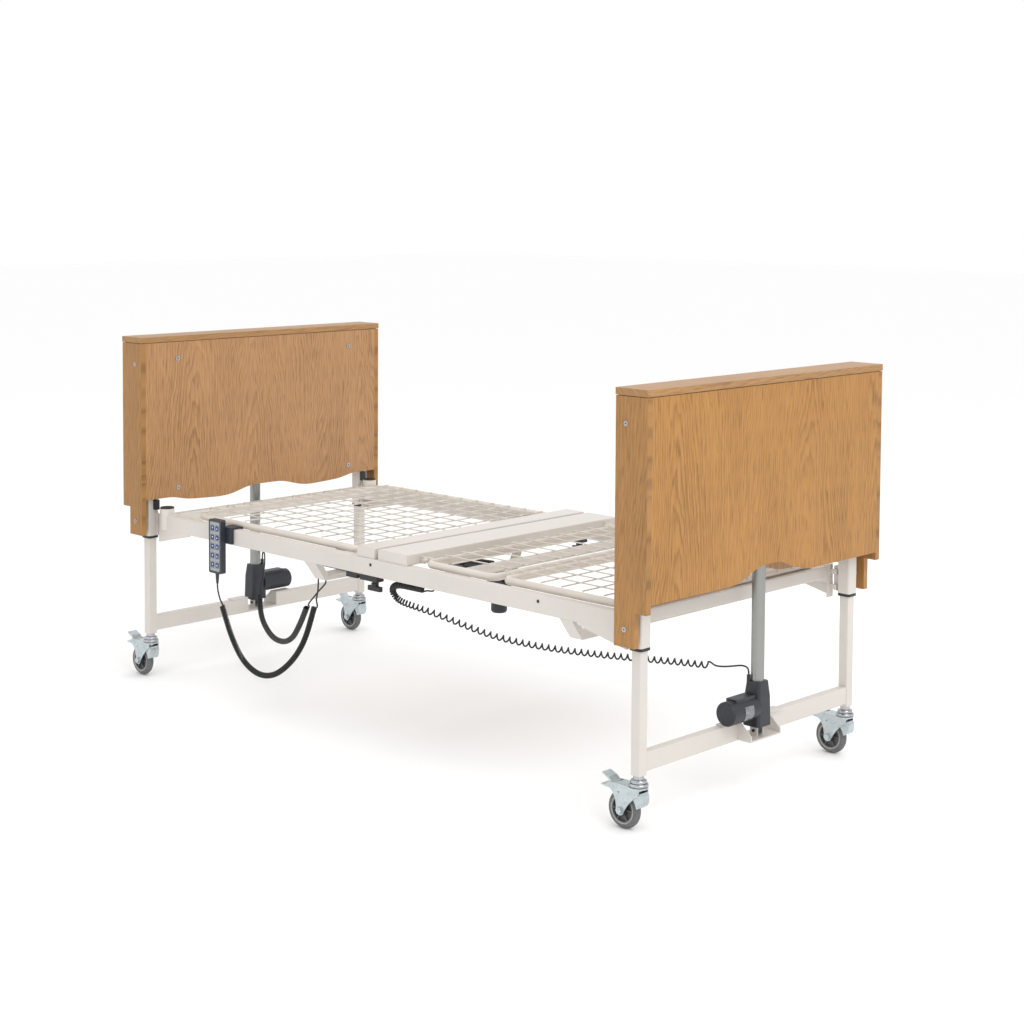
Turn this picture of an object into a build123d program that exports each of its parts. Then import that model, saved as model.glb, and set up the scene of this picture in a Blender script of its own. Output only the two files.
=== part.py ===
"""Adjustable profiling bed with wooden end boards, on four braked casters.

Frame: X along the bed with the head end at -X, Y across it, Z up, the floor at Z = 0.
The origin is on the floor, under the middle of the whole bed.  Millimetres.
"""
from build123d import *
from math import hypot, radians, tan
import os

os.makedirs("parts", exist_ok=True)

# ---------------------------------------------------------------- driving sizes
HEAD, FOOT = -1, 1
NEAR, FAR = -1, 1

LENGTH = 2256.0            # between the outer edges of the two caps
WIDTH = 1030.0             # across a cap
BOARD_TOP = 1131.0         # top of the caps
BOX_DEPTH = 107.4          # a cap along X
CAP_THICK = 18.0
CAP_OVERHANG = 1.5
SHADOW_GAP = 2.0           # groove under the cap
PANEL_THICK = 15.0
CHEEK_THICK = 18.0
BOX_FOOT = 572.0           # lower edge of the cheek's outer part
CHEEK_FOOT = 482.0         # lower edge of the cheek's inner part
CHEEK_NOTCH = 38.0         # depth of the notch in the cheek's outer edge

LEG_INSET = 69.0           # cap edge to leg centre
LEG_SIDE = 455.5           # bed centre line to leg centre
LEG_SIZE = 30.0
LEG_WALL = 2.0
LEG_BOTTOM = 147.0
LEG_TOP = 880.0
CROSS_RAIL_BOTTOM = 155.0
CROSS_RAIL_TALL = 50.0
CROSS_RAIL_DEEP = 25.0

SLEEVE_SIZE = 40.0
SLEEVE_WALL = 2.5
SLEEVE_BOTTOM = 474.0
SLEEVE_TOP = 1085.0
SLIDE_GAP = 0.3            # leg to bush, each side

WHEEL_RADIUS = 50.0
WHEEL_TRAIL = 45.0         # kingpin to axle
PEDAL_REACH = 112.0        # kingpin to the tip of the brake pedal
AXLE_RADIUS = 6.0
RUNNING_GAP = 0.05         # radial, shaft to bore

ACTUATOR_OFFSET = 27.0     # lift column outside the leg plane
TUBE_RADIUS = 18.0

RAIL_SIDE = 440.0          # bed centre line to side rail centre
RAIL_WIDE = 30.0
RAIL_TALL = 50.0
RAIL_BOTTOM = 500.0
RAIL_WALL = 2.0
RAIL_END = 1010.0
JOINT_X = -45.0            # where the two frame halves meet
JOINT_GAP = 0.6

WIRE = 5.0
WIRE_PITCH_Y = 68.95
FRAME_TUBE = 11.0          # radius of the section frames
FRAME_TUBE_Z = 562.5
SECTION_HALF = 410.0       # centre line of a section's side tubes
BACK_HEAD_X = -868.0
BACK_FOOT_X = -66.0
BACK_HINGE_X = -40.0
THIGH_HEAD_X = 231.0
THIGH_FOOT_X = 492.0
THIGH_HINGE_X = 205.0
KNEE_X = 515.0
CALF_HEAD_X = 538.0
CALF_FOOT_X = 985.0
HINGE_PIN = 6.0

# the head casters reach past the head board, so the bed's middle is not the frame's middle
OVERHANG = PEDAL_REACH - LEG_INSET
CENTRE_X = OVERHANG / 2

HALF_LENGTH = LENGTH / 2
LEG_OUT = HALF_LENGTH - LEG_INSET
ACTUATOR_OUT = LEG_OUT + ACTUATOR_OFFSET
RAIL_TOP = RAIL_BOTTOM + RAIL_TALL
BOX_TOP = BOARD_TOP - CAP_THICK - SHADOW_GAP
OUTER_FACE = HALF_LENGTH - CAP_OVERHANG
INNER_FACE = HALF_LENGTH - BOX_DEPTH + CAP_OVERHANG
CHEEK_FACE = WIDTH / 2 - CAP_OVERHANG
PANEL_HALF = CHEEK_FACE - CHEEK_THICK


# ---------------------------------------------------------------- placing and shaping
def end_point(end, out, side, up):
    """A point of one end of the bed: the two ends are the same, half a turn apart."""
    return (CENTRE_X + end * out, end * side, up)


def upright(end, out, side, up):
    """Plane facing up."""
    return Plane(end_point(end, out, side, up), x_dir=(end, 0, 0), z_dir=(0, 0, 1))


def outward(end, out, side, up):
    """Plane facing away from the bed's middle: its x runs sideways, its y up."""
    return Plane(end_point(end, out, side, up), x_dir=(0, end, 0), z_dir=(end, 0, 0))


def crossways(end, out, side, up):
    """Plane facing against the side direction: its x runs outward, its y up."""
    return Plane(end_point(end, out, side, up), x_dir=(end, 0, 0), z_dir=(0, -end, 0))


def side_view(x, y, z=0.0):
    """Plane facing -Y: its x runs along the bed, its y up."""
    return Plane((x, y, z), x_dir=(1, 0, 0), z_dir=(0, -1, 0))


def cross_view(x, y=0.0, z=0.0):
    """Plane facing +X: its x runs across the bed, its y up."""
    return Plane((x, y, z), x_dir=(0, 1, 0), z_dir=(1, 0, 0))


def level(x, y, z):
    """Plane facing up."""
    return Plane((x, y, z))


def block(plane, wide, deep, tall, mode=Mode.ADD):
    """Block that stands on a plane."""
    with BuildSketch(plane) as outline:
        Rectangle(wide, deep)
    extrude(outline.sketch, amount=tall, mode=mode)


def post(plane, radius, tall, mode=Mode.ADD):
    """Round bar that stands on a plane."""
    with BuildSketch(plane) as outline:
        Circle(radius)
    extrude(outline.sketch, amount=tall, mode=mode)


def ring(plane, radius, bore, tall, mode=Mode.ADD):
    """Round tube that stands on a plane."""
    with BuildSketch(plane) as outline:
        Circle(radius)
        Circle(bore, mode=Mode.SUBTRACT)
    extrude(outline.sketch, amount=tall, mode=mode)


def box_tube(plane, wide, deep, long, wall, corner=3.0):
    """Rectangular tube that stands on a plane."""
    with BuildSketch(plane) as outline:
        RectangleRounded(wide, deep, corner)
        Rectangle(wide - 2 * wall, deep - 2 * wall, mode=Mode.SUBTRACT)
    extrude(outline.sketch, amount=long)


def plate(plane, points, thick, both=False, mode=Mode.ADD):
    """Flat plate with a straight-edged outline."""
    with BuildSketch(plane) as outline:
        with BuildLine():
            Polyline(*points, close=True)
        make_face()
    extrude(outline.sketch, amount=thick, both=both, mode=mode)


def save(builder, name):
    """Label the finished piece and write it."""
    builder.part.label = name
    export_step(builder.part, f"parts/{name}.step")


# ---------------------------------------------------------------- leg frames
TRAY_HALF = 62.0           # half the width of the pocket that holds the lift motor
TRAY_FLOOR = 162.0
TRAY_PLATE = 4.0
TRAY_FRONT = ACTUATOR_OUT + 31.0
TRAY_BACK = LEG_OUT - CROSS_RAIL_DEEP / 2
TRAY_FLANGE = 128.0
LUG_PIN = 4.0
LUG_Z = 176.0
LUG_HALF = 9.0
RAIL_TOP_LOW = CROSS_RAIL_BOTTOM + CROSS_RAIL_TALL


def leg_frame(end, name):
    """Two legs and the low cross rail, with a tray that holds the foot of the lift motor."""
    with BuildPart() as frame:
        for side in (NEAR, FAR):
            foot = upright(end, LEG_OUT, side * LEG_SIDE, LEG_BOTTOM)
            box_tube(foot, LEG_SIZE, LEG_SIZE, LEG_TOP - LEG_BOTTOM, LEG_WALL)
            block(foot, LEG_SIZE - 2 * LEG_WALL, LEG_SIZE - 2 * LEG_WALL, 4)
        half = LEG_SIDE - LEG_SIZE / 2 + 0.5
        middle = CROSS_RAIL_BOTTOM + CROSS_RAIL_TALL / 2
        box_tube(crossways(end, LEG_OUT, half, middle), CROSS_RAIL_DEEP, CROSS_RAIL_TALL, 2 * half, 2)
        pocket = upright(end, LEG_OUT, 0, TRAY_FLOOR)
        block(pocket, CROSS_RAIL_DEEP + 10, 2 * TRAY_HALF, 60, mode=Mode.SUBTRACT)
        length = TRAY_FRONT - TRAY_BACK
        middle_out = (TRAY_FRONT + TRAY_BACK) / 2
        floor = upright(end, middle_out, 0, TRAY_FLOOR - TRAY_PLATE)
        block(floor, length, 2 * TRAY_HALF + 8, TRAY_PLATE)
        for side in (NEAR, FAR):
            wall = crossways(end, TRAY_BACK, side * (TRAY_HALF + 2), 0)
            outline = [(0, TRAY_FLOOR - 2), (length, TRAY_FLOOR - 2), (length, TRAY_FLOOR + 12),
                       (CROSS_RAIL_DEEP + 8, RAIL_TOP_LOW + 2), (0, RAIL_TOP_LOW + 2)]
            plate(wall, outline, 2, both=True)
            flange = upright(end, LEG_OUT + 4, side * (TRAY_HALF + TRAY_FLANGE) / 2, RAIL_TOP_LOW)
            block(flange, CROSS_RAIL_DEEP + 8, TRAY_FLANGE - TRAY_HALF, 3)
            ear = crossways(end, ACTUATOR_OUT, side * (LUG_HALF + 3), 0)
            outline = [(-12, TRAY_FLOOR - 1), (12, TRAY_FLOOR - 1), (12, LUG_Z + 10), (-12, LUG_Z + 10)]
            plate(ear, outline, 2, both=True)
        pin = crossways(end, ACTUATOR_OUT, 40, LUG_Z)
        post(pin, LUG_PIN + 0.1, 80, mode=Mode.SUBTRACT)
    save(frame, name)


leg_frame(HEAD, "head_leg_frame")
leg_frame(FOOT, "foot_leg_frame")

# ---------------------------------------------------------------- casters
CUP_BOTTOM = 118.0
CROWN_TOP = 117.5
CROWN_THICK = 4.0
FORK_INSIDE = 17.0
FORK_PLATE = 3.0
PIVOT_X, PIVOT_Z = -66.0, 103.0     # brake pedal's pin, from the kingpin and the floor


def caster_cups(end, name):
    """Chrome bearing cups and kingpins under the two legs."""
    with BuildPart() as cups:
        for side in (NEAR, FAR):
            with BuildSketch(crossways(end, LEG_OUT, side * LEG_SIDE, 0)) as profile:
                with BuildLine():
                    Polyline((0, 106), (10, 106), (10, 111), (6, 111), (6, CUP_BOTTOM), (23, CUP_BOTTOM))
                    ThreePointArc((23, CUP_BOTTOM), (25.5, 122.5), (23, 127))
                    Line((23, 127), (20, 127))
                    ThreePointArc((20, 127), (21.5, 132), (17, 137))
                    Polyline((17, 137), (14, 138), (14, LEG_BOTTOM), (0, LEG_BOTTOM), (0, 106))
                make_face()
            kingpin = Axis(end_point(end, LEG_OUT, side * LEG_SIDE, 0), (0, 0, 1))
            revolve(profile.sketch, axis=kingpin)
    save(cups, name)


def caster_fork(x, y, name):
    """Pressed fork, its axle bolt and the dark guard in front of the wheel."""
    with BuildPart() as fork:
        with BuildSketch(level(x, y, CROWN_TOP - CROWN_THICK)) as crown:
            with BuildLine():
                Line((0, 25), (-60, 20))
                Line((-60, 20), (-60, -20))
                Line((-60, -20), (0, -25))
                ThreePointArc((0, -25), (25, 0), (0, 25))
            make_face()
            Circle(AXLE_RADIUS + 0.4, mode=Mode.SUBTRACT)
        extrude(crown.sketch, amount=CROWN_THICK)
        for side in (NEAR, FAR):
            face = side_view(x, y + side * (FORK_INSIDE + FORK_PLATE / 2))
            with BuildSketch(face) as cheek:
                with BuildLine():
                    Line((16, CROWN_TOP), (-62, CROWN_TOP))
                    ThreePointArc((-62, CROWN_TOP), (-80, 115.5), (-93, 108))
                    Line((-93, 108), (-74, 96))
                    ThreePointArc((-74, 96), (-62, 78), (-58, 52))
                    ThreePointArc((-58, 52), (-45, 37), (-33, 46))
                    ThreePointArc((-33, 46), (-12, 76), (16, 100))
                    Line((16, 100), (16, CROWN_TOP))
                make_face()
                with Locations((-WHEEL_TRAIL, WHEEL_RADIUS)):
                    Circle(AXLE_RADIUS + 0.1, mode=Mode.SUBTRACT)
                with Locations((-50, 96)):
                    Circle(2, mode=Mode.SUBTRACT)
            extrude(cheek.sketch, amount=FORK_PLATE / 2, both=True)
        pin = side_view(x + PIVOT_X, y + FORK_INSIDE + 1, PIVOT_Z)
        post(pin, 3, 2 * FORK_INSIDE + 2)
        axle = side_view(x - WHEEL_TRAIL, y + 26, WHEEL_RADIUS)
        post(axle, AXLE_RADIUS, 52)
        for start in (26, -20):
            head = side_view(x - WHEEL_TRAIL, y + start, WHEEL_RADIUS)
            with BuildSketch(head) as nut:
                RegularPolygon(9.5, 6)
            extrude(nut.sketch, amount=6)
        with BuildSketch(side_view(x, y)) as guard:
            with BuildLine():
                ThreePointArc((7.1, 63), (0.5, 78.5), (-12, 92.6))
                Line((-12, 92.6), (-6, 101))
                Line((-6, 101), (17, 104))
                ThreePointArc((17, 104), (22, 86), (14, 66))
                Line((14, 66), (7.1, 63))
            make_face()
        extrude(guard.sketch, amount=FORK_INSIDE - 0.1, both=True)
    save(fork, name)


def caster_wheel(x, y, name):
    """Grey tyre on a ribbed hub."""
    axle_x = x - WHEEL_TRAIL
    axis = Axis((axle_x, y, WHEEL_RADIUS), (0, 1, 0))
    with BuildPart() as wheel:
        with BuildSketch(cross_view(axle_x, y, WHEEL_RADIUS)) as hub:
            with BuildLine():
                Polyline((-15, AXLE_RADIUS + RUNNING_GAP), (15, AXLE_RADIUS + RUNNING_GAP), (15, 13), (4, 14),
                         (4, 30), (10.5, 31), (11.5, 36), (-11.5, 36), (-10.5, 31), (-4, 30), (-4, 14),
                         (-15, 13), close=True)
            make_face()
        revolve(hub.sketch, axis=axis)
        for side in (NEAR, FAR):
            spoke_face = side_view(axle_x, y + side * 7, WHEEL_RADIUS)
            with BuildSketch(spoke_face) as ribs:
                with PolarLocations(22, 6):
                    Rectangle(20, 3)
            extrude(ribs.sketch, amount=3.5, both=True)
        with BuildSketch(cross_view(axle_x, y, WHEEL_RADIUS)) as tyre:
            with BuildLine():
                Line((-11.5, 36.02), (11.5, 36.02))
                Line((11.5, 36.02), (12.5, 41))
                ThreePointArc((12.5, 41), (0, WHEEL_RADIUS), (-12.5, 41))
                Line((-12.5, 41), (-11.5, 36.02))
            make_face()
        revolve(tyre.sketch, axis=axis)
    save(wheel, name)


def caster_pedal(x, y, name):
    """Brake pedal: one tab is pressed down to lock, the other is lifted to release."""
    with BuildPart() as pedal:
        with BuildSketch(side_view(x, y)) as outline:
            with BuildLine():
                Polyline((-60, 107), (-60, 99), (-66, 97), (-88, 99), (-111, 101), (-PEDAL_REACH, 104.5),
                         (-90, 103.5), (-82, 108), (-87, 121), (-107, 131), (-109, 135), (-86, 126.5),
                         (-76, 118.5), (-66, 109.5), close=True)
            make_face()
            with Locations((PIVOT_X, PIVOT_Z)):
                Circle(3 + RUNNING_GAP, mode=Mode.SUBTRACT)
        extrude(outline.sketch, amount=FORK_INSIDE - 0.6, both=True)
    save(pedal, name)


for end, end_name in ((HEAD, "head"), (FOOT, "foot")):
    caster_cups(end, f"{end_name}_caster_cups")
    for side, side_name in ((NEAR, "near"), (FAR, "far")):
        stem_x = CENTRE_X + end * LEG_OUT
        stem_y = side * LEG_SIDE
        caster_fork(stem_x, stem_y, f"caster_fork_{end_name}_{side_name}")
        caster_wheel(stem_x, stem_y, f"caster_wheel_{end_name}_{side_name}")
        caster_pedal(stem_x, stem_y, f"caster_pedal_{end_name}_{side_name}")

# ---------------------------------------------------------------- lift columns
GEARBOX_OUT = 55.0
GEARBOX_SIDE = 60.0
GEARBOX_BOTTOM = 190.0
GEARBOX_TOP = 310.0
MOTOR_RADIUS = 32.5
MOTOR_Z = 243.0
MOTOR_END = 139.0
LIFT_TUBE_TOP = 800.0
TUBE_BORE = 15.0
ROD_RADIUS = 12.0
ROD_BOTTOM = 520.0
ROD_EYE_Z = 1000.0
ROD_PIN = 4.5
GLAND_SIDE = -20.0
GLAND_INSET = 14.0
GLAND_TOP = 326.0


def lift_motor(end, name):
    """Gearbox, motor can and the pin that holds the gearbox's foot."""
    with BuildPart() as motor:
        with BuildSketch(upright(end, ACTUATOR_OUT, 0, GEARBOX_BOTTOM)) as low:
            RectangleRounded(GEARBOX_OUT, GEARBOX_SIDE, 9)
        with BuildSketch(upright(end, ACTUATOR_OUT, 0, GEARBOX_TOP - 40)) as high:
            RectangleRounded(GEARBOX_OUT - 3, GEARBOX_SIDE - 4, 9)
        with BuildSketch(upright(end, ACTUATOR_OUT, 0, GEARBOX_TOP)) as top:
            RectangleRounded(GEARBOX_OUT - 10, GEARBOX_SIDE - 14, 9)
        loft([low.sketch.face(), high.sketch.face(), top.sketch.face()], ruled=True)
        with BuildSketch(crossways(end, ACTUATOR_OUT, -20, MOTOR_Z)) as can:
            Circle(MOTOR_RADIUS)
        extrude(can.sketch, amount=MOTOR_END - 24)
        with BuildSketch(crossways(end, ACTUATOR_OUT, 4 - MOTOR_END, MOTOR_Z)) as cap:
            Circle(MOTOR_RADIUS)
        extrude(cap.sketch, amount=4, taper=40)
        hood = upright(end, ACTUATOR_OUT, -68, MOTOR_Z)
        block(hood, 34, 90, MOTOR_RADIUS + 4)
        lug = crossways(end, ACTUATOR_OUT, LUG_HALF, 0)
        outline = [(-10, LUG_Z - 8), (-6, LUG_Z - 10), (6, LUG_Z - 10), (10, LUG_Z - 8),
                   (12, GEARBOX_BOTTOM + 2), (-12, GEARBOX_BOTTOM + 2)]
        plate(lug, outline, 2 * LUG_HALF)
        post(crossways(end, ACTUATOR_OUT, 40, LUG_Z), LUG_PIN + 0.1, 80, mode=Mode.SUBTRACT)
        post(crossways(end, ACTUATOR_OUT, 18, LUG_Z), LUG_PIN, 36)
        gland = upright(end, ACTUATOR_OUT - GLAND_INSET, GLAND_SIDE, GEARBOX_TOP - 12)
        post(gland, 5.5, GLAND_TOP - GEARBOX_TOP + 12)
    save(motor, name)


def lift_tube(end, name):
    """Outer tube of the lift column, standing on the gearbox."""
    with BuildPart() as tube:
        ring(upright(end, ACTUATOR_OUT, 0, GEARBOX_TOP), TUBE_RADIUS, TUBE_BORE, LIFT_TUBE_TOP - GEARBOX_TOP)
    save(tube, name)


lift_motor(HEAD, "head_lift_motor")
lift_motor(FOOT, "foot_lift_motor")
lift_tube(HEAD, "head_lift_tube")
lift_tube(FOOT, "foot_lift_tube")

with BuildPart() as lift_rods:
    for end in (HEAD, FOOT):
        post(upright(end, ACTUATOR_OUT, 0, ROD_BOTTOM), ROD_RADIUS, ROD_EYE_Z - 14 - ROD_BOTTOM)
        block(upright(end, ACTUATOR_OUT, 0, ROD_EYE_Z - 15), 24, 20, 29)
        post(crossways(end, ACTUATOR_OUT, 12, ROD_EYE_Z), ROD_PIN + RUNNING_GAP, 24, mode=Mode.SUBTRACT)
save(lift_rods, "lift_rods")

# ---------------------------------------------------------------- sleeve frames
TIE_DEEP = 25.0
TIE_TALL = 30.0
TIE_OUT = 1052.0
UPPER_TIE_Z = 1056.0
LOWER_TIE_Z = 627.0
PANEL_SCREW_SIDE = 370.0
CHEEK_SCREW_Z = (527.0, 1043.0)
CHEEK_SCREW_OUT = LEG_OUT - 3.0


def sleeve_frame(end, name):
    """Two sleeves that slide on the legs, their ties, and the fixings for boards and bed frame."""
    sleeve_face = LEG_SIDE + SLEEVE_SIZE / 2
    with BuildPart() as frame:
        for side in (NEAR, FAR):
            foot = upright(end, LEG_OUT, side * LEG_SIDE, SLEEVE_BOTTOM)
            box_tube(foot, SLEEVE_SIZE, SLEEVE_SIZE, SLEEVE_TOP - SLEEVE_BOTTOM, SLEEVE_WALL, corner=6)
            block(upright(end, LEG_OUT, side * LEG_SIDE, SLEEVE_TOP - 3), SLEEVE_SIZE - 4, SLEEVE_SIZE - 4, 3)
            hook = crossways(end, LEG_OUT - SLEEVE_SIZE / 2, side * (RAIL_SIDE + 8), 0)
            outline = [(1, 476), (-18, 478), (-18, 548), (1, 554)]
            plate(hook, outline, 2.5, both=True)
            for height in CHEEK_SCREW_Z:
                inner = sleeve_face - 1
                spacer = Plane(end_point(end, CHEEK_SCREW_OUT, side * inner, height),
                               x_dir=(end, 0, 0), z_dir=(0, side * end, 0))
                post(spacer, 8, PANEL_HALF - inner)
        half = LEG_SIDE - SLEEVE_SIZE / 2 + 0.5
        for height in (LOWER_TIE_Z, UPPER_TIE_Z):
            box_tube(crossways(end, TIE_OUT, half, height), TIE_DEEP, TIE_TALL, 2 * half, 2)
            for side in (NEAR, FAR):
                inner_gap = TIE_OUT - TIE_DEEP / 2 - INNER_FACE - PANEL_THICK
                reach = TIE_OUT - TIE_DEEP / 2 - inner_gap
                post(outward(end, reach, side * PANEL_SCREW_SIDE, height), 9, inner_gap + 1)
                outer_start = TIE_OUT + TIE_DEEP / 2 - 1
                outer_gap = OUTER_FACE - PANEL_THICK - outer_start
                post(outward(end, outer_start, side * PANEL_SCREW_SIDE, height), 9, outer_gap)
        for side in (NEAR, FAR):
            bracket = crossways(end, TIE_OUT, side * 14, 0)
            outline = [(-12, UPPER_TIE_Z - 16), (-12, UPPER_TIE_Z), (12, UPPER_TIE_Z),
                       (ACTUATOR_OUT - TIE_OUT + 14, ROD_EYE_Z + 10), (ACTUATOR_OUT - TIE_OUT + 14, ROD_EYE_Z - 12),
                       (ACTUATOR_OUT - TIE_OUT - 14, ROD_EYE_Z - 12)]
            plate(bracket, outline, 2, both=True)
        post(crossways(end, ACTUATOR_OUT, 15, ROD_EYE_Z), ROD_PIN, 30)
    save(frame, name)


sleeve_frame(HEAD, "head_sleeve_frame")
sleeve_frame(FOOT, "foot_sleeve_frame")

with BuildPart() as sleeve_bushes:
    for end in (HEAD, FOOT):
        for side in (NEAR, FAR):
            hole = LEG_SIZE + 2 * SLIDE_GAP
            with BuildSketch(upright(end, LEG_OUT, side * LEG_SIDE, SLEEVE_BOTTOM - 8)) as flange:
                RectangleRounded(SLEEVE_SIZE, SLEEVE_SIZE, 6)
                Rectangle(hole, hole, mode=Mode.SUBTRACT)
            extrude(flange.sketch, amount=8)
            with BuildSketch(upright(end, LEG_OUT, side * LEG_SIDE, SLEEVE_BOTTOM)) as liner:
                Rectangle(SLEEVE_SIZE - 2 * SLEEVE_WALL - 0.2, SLEEVE_SIZE - 2 * SLEEVE_WALL - 0.2)
                Rectangle(hole, hole, mode=Mode.SUBTRACT)
            extrude(liner.sketch, amount=40)
save(sleeve_bushes, "sleeve_bushes")

# ---------------------------------------------------------------- end boards
OUTER_EDGE = 594.0         # lower edge of the outer panel beside the cheeks
INNER_EDGE = 597.0
ARCH_TOP = 632.0           # lower edge of the outer panel at the middle
INNER_ARCH_TOP = 603.0
INNER_DIP = 580.0          # lowest stretch of the inner panel's wavy edge


def outer_edge():
    """Lower edge of the outer panel, right half to left half: straight, with one arch."""
    for way in (1, -1):
        Line((way * PANEL_HALF, OUTER_EDGE), (way * 190, OUTER_EDGE))
        Spline((way * 190, OUTER_EDGE), (way * 120, OUTER_EDGE + 11), (way * 62, ARCH_TOP - 6), (0, ARCH_TOP),
               tangents=[(-way, 0), (-way, 0)])


def inner_edge():
    """Lower edge of the inner panel: a wave with a small arch at the middle."""
    for way in (1, -1):
        Line((way * PANEL_HALF, INNER_EDGE), (way * 410, INNER_EDGE))
        Spline((way * 410, INNER_EDGE), (way * 340, INNER_DIP + 6), (way * 260, INNER_DIP),
               (way * 150, INNER_DIP + 2), (way * 85, INNER_ARCH_TOP - 5), (0, INNER_ARCH_TOP),
               tangents=[(-way, 0), (-way, 0)])


def board_panel(end, face_out, edge, low, name):
    """One oak panel, set between the cheeks."""
    with BuildPart() as panel:
        with BuildSketch(outward(end, face_out, 0, 0)) as outline:
            with BuildLine():
                edge()
                Polyline((-PANEL_HALF, low), (-PANEL_HALF, BOX_TOP), (PANEL_HALF, BOX_TOP), (PANEL_HALF, low))
            make_face()
        extrude(outline.sketch, amount=PANEL_THICK)
    save(panel, name)


def cheeks(end, name):
    """The two side walls of an end board, notched to clear the sleeves' feet."""
    with BuildPart() as walls:
        for side in (NEAR, FAR):
            middle = side * (CHEEK_FACE - CHEEK_THICK / 2)
            with BuildSketch(crossways(end, 0, middle, 0)) as outline:
                with BuildLine():
                    Polyline((INNER_FACE, CHEEK_FOOT), (OUTER_FACE - CHEEK_NOTCH, CHEEK_FOOT),
                             (OUTER_FACE - CHEEK_NOTCH, BOX_FOOT), (OUTER_FACE, BOX_FOOT),
                             (OUTER_FACE, BOX_TOP), (INNER_FACE, BOX_TOP), close=True)
                make_face()
            extrude(outline.sketch, amount=CHEEK_THICK / 2, both=True)
    save(walls, name)


for end, end_name in ((HEAD, "head"), (FOOT, "foot")):
    board_panel(end, OUTER_FACE - PANEL_THICK, outer_edge, OUTER_EDGE, f"{end_name}_outer_panel")
    board_panel(end, INNER_FACE, inner_edge, INNER_EDGE, f"{end_name}_inner_panel")
    cheeks(end, f"{end_name}_cheeks")

with BuildPart() as board_caps:
    for end in (HEAD, FOOT):
        middle_out = HALF_LENGTH - BOX_DEPTH / 2
        with BuildSketch(upright(end, middle_out, 0, BOARD_TOP - CAP_THICK)) as slab:
            RectangleRounded(BOX_DEPTH, WIDTH, 2)
        extrude(slab.sketch, amount=CAP_THICK)
        block(upright(end, middle_out, 0, BOX_TOP), BOX_DEPTH - 16, WIDTH - 16, SHADOW_GAP)
save(board_caps, "board_caps")

with BuildPart() as board_screws:
    for end in (HEAD, FOOT):
        for side in (NEAR, FAR):
            for height in CHEEK_SCREW_Z:
                face = Plane(end_point(end, CHEEK_SCREW_OUT, side * CHEEK_FACE, height),
                             x_dir=(end, 0, 0), z_dir=(0, side * end, 0))
                with BuildSketch(face) as head:
                    Circle(7)
                    RegularPolygon(2.6, 6, mode=Mode.SUBTRACT)
                extrude(head.sketch, amount=1.5)
            for height in (LOWER_TIE_Z, UPPER_TIE_Z):
                face = Plane(end_point(end, INNER_FACE, side * PANEL_SCREW_SIDE, height),
                             x_dir=(0, end, 0), z_dir=(-end, 0, 0))
                with BuildSketch(face) as head:
                    Circle(8)
                    RegularPolygon(3, 6, mode=Mode.SUBTRACT)
                extrude(head.sketch, amount=2)
save(board_screws, "board_screws")

# ---------------------------------------------------------------- bed frame, in two halves
BAR_TOP = 581.5            # level with the wire mesh
BAR_BOTTOM = RAIL_TOP
DROP_TOP = RAIL_BOTTOM + 2
DROP_BOTTOM = 437.0
HEAD_DROP_X = -260.0
FOOT_DROP_X = 787.0
SOCKET_X = -985.0
SOCKET_RADIUS = 23.5
SOCKET_BORE = 20.0
SOCKET_BOTTOM = 500.0
SOCKET_TOP = 570.0
ARM_SIDE = 386.0           # a section's hinge arms
HINGE_SIDE = 395.0         # the fixed ears outside them
PIN_RADIUS = 5.0


def x_at(x):
    """Bed's own X for a distance from the middle of the two boards."""
    return CENTRE_X + x


def across(x, z, half=RAIL_SIDE - RAIL_WIDE / 2 + 1, wide=25.0, tall=25.0):
    """Cross tube between the side rails."""
    middle = side_view(x_at(x), half, z)
    box_tube(middle, wide, tall, 2 * half, 2)


def drop_member(x, wide):
    """Cross member that dips under the frame to carry motors and cables."""
    top_out, top_in, low_out, low_in = 442, 416, 394, 384
    outline = [(-top_out, DROP_TOP), (-low_out, DROP_BOTTOM), (low_out, DROP_BOTTOM), (top_out, DROP_TOP),
               (top_in, DROP_TOP), (low_in, DROP_BOTTOM + 16), (-low_in, DROP_BOTTOM + 16), (-top_in, DROP_TOP)]
    plate(cross_view(x_at(x)), outline, wide / 2, both=True)


def rail(start, stop):
    """The two side rails of one frame half."""
    for side in (NEAR, FAR):
        foot = cross_view(x_at(start), side * RAIL_SIDE, RAIL_BOTTOM + RAIL_TALL / 2)
        box_tube(foot, RAIL_WIDE, RAIL_TALL, stop - start, RAIL_WALL)


def rail_ends(end):
    """End plates, hooks and gussets where the rails meet the sleeves."""
    for side in (NEAR, FAR):
        face = outward(end, RAIL_END - 1, side * (RAIL_SIDE - 2), 505)
        block(face, RAIL_WIDE - 6, 95, 4)
        gusset = crossways(end, RAIL_END - 1, side * (RAIL_SIDE + RAIL_WIDE / 2 - 2), 0)
        outline = [(2, 458), (2, RAIL_BOTTOM + 2), (-165, RAIL_BOTTOM + 2), (-165, RAIL_BOTTOM - 5)]
        plate(gusset, outline, 2, both=True)
        for height in (488, 532):
            tongue = outward(end, RAIL_END + 2, side * (RAIL_SIDE + 1), height)
            block(tongue, 5, 14, 22)


def hinge_ears(x_bar, x_hinge, height=FRAME_TUBE_Z):
    """Fixed ears that hold a section's hinge pins."""
    reach = 9.0
    for side in (NEAR, FAR):
        face = side_view(0, side * HINGE_SIDE)
        way = 1 if x_bar > x_hinge else -1
        outline = [(x_at(x_bar) + way, height + 9), (x_at(x_hinge), height + 9),
                   (x_at(x_hinge) - way * reach, height), (x_at(x_hinge), height - 10),
                   (x_at(x_bar) + way, height - 10)]
        plate(face, outline, 3, both=True)
        hole = side_view(x_at(x_hinge), side * HINGE_SIDE + 10, height)
        post(hole, HINGE_PIN + RUNNING_GAP, 20, mode=Mode.SUBTRACT)


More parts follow.
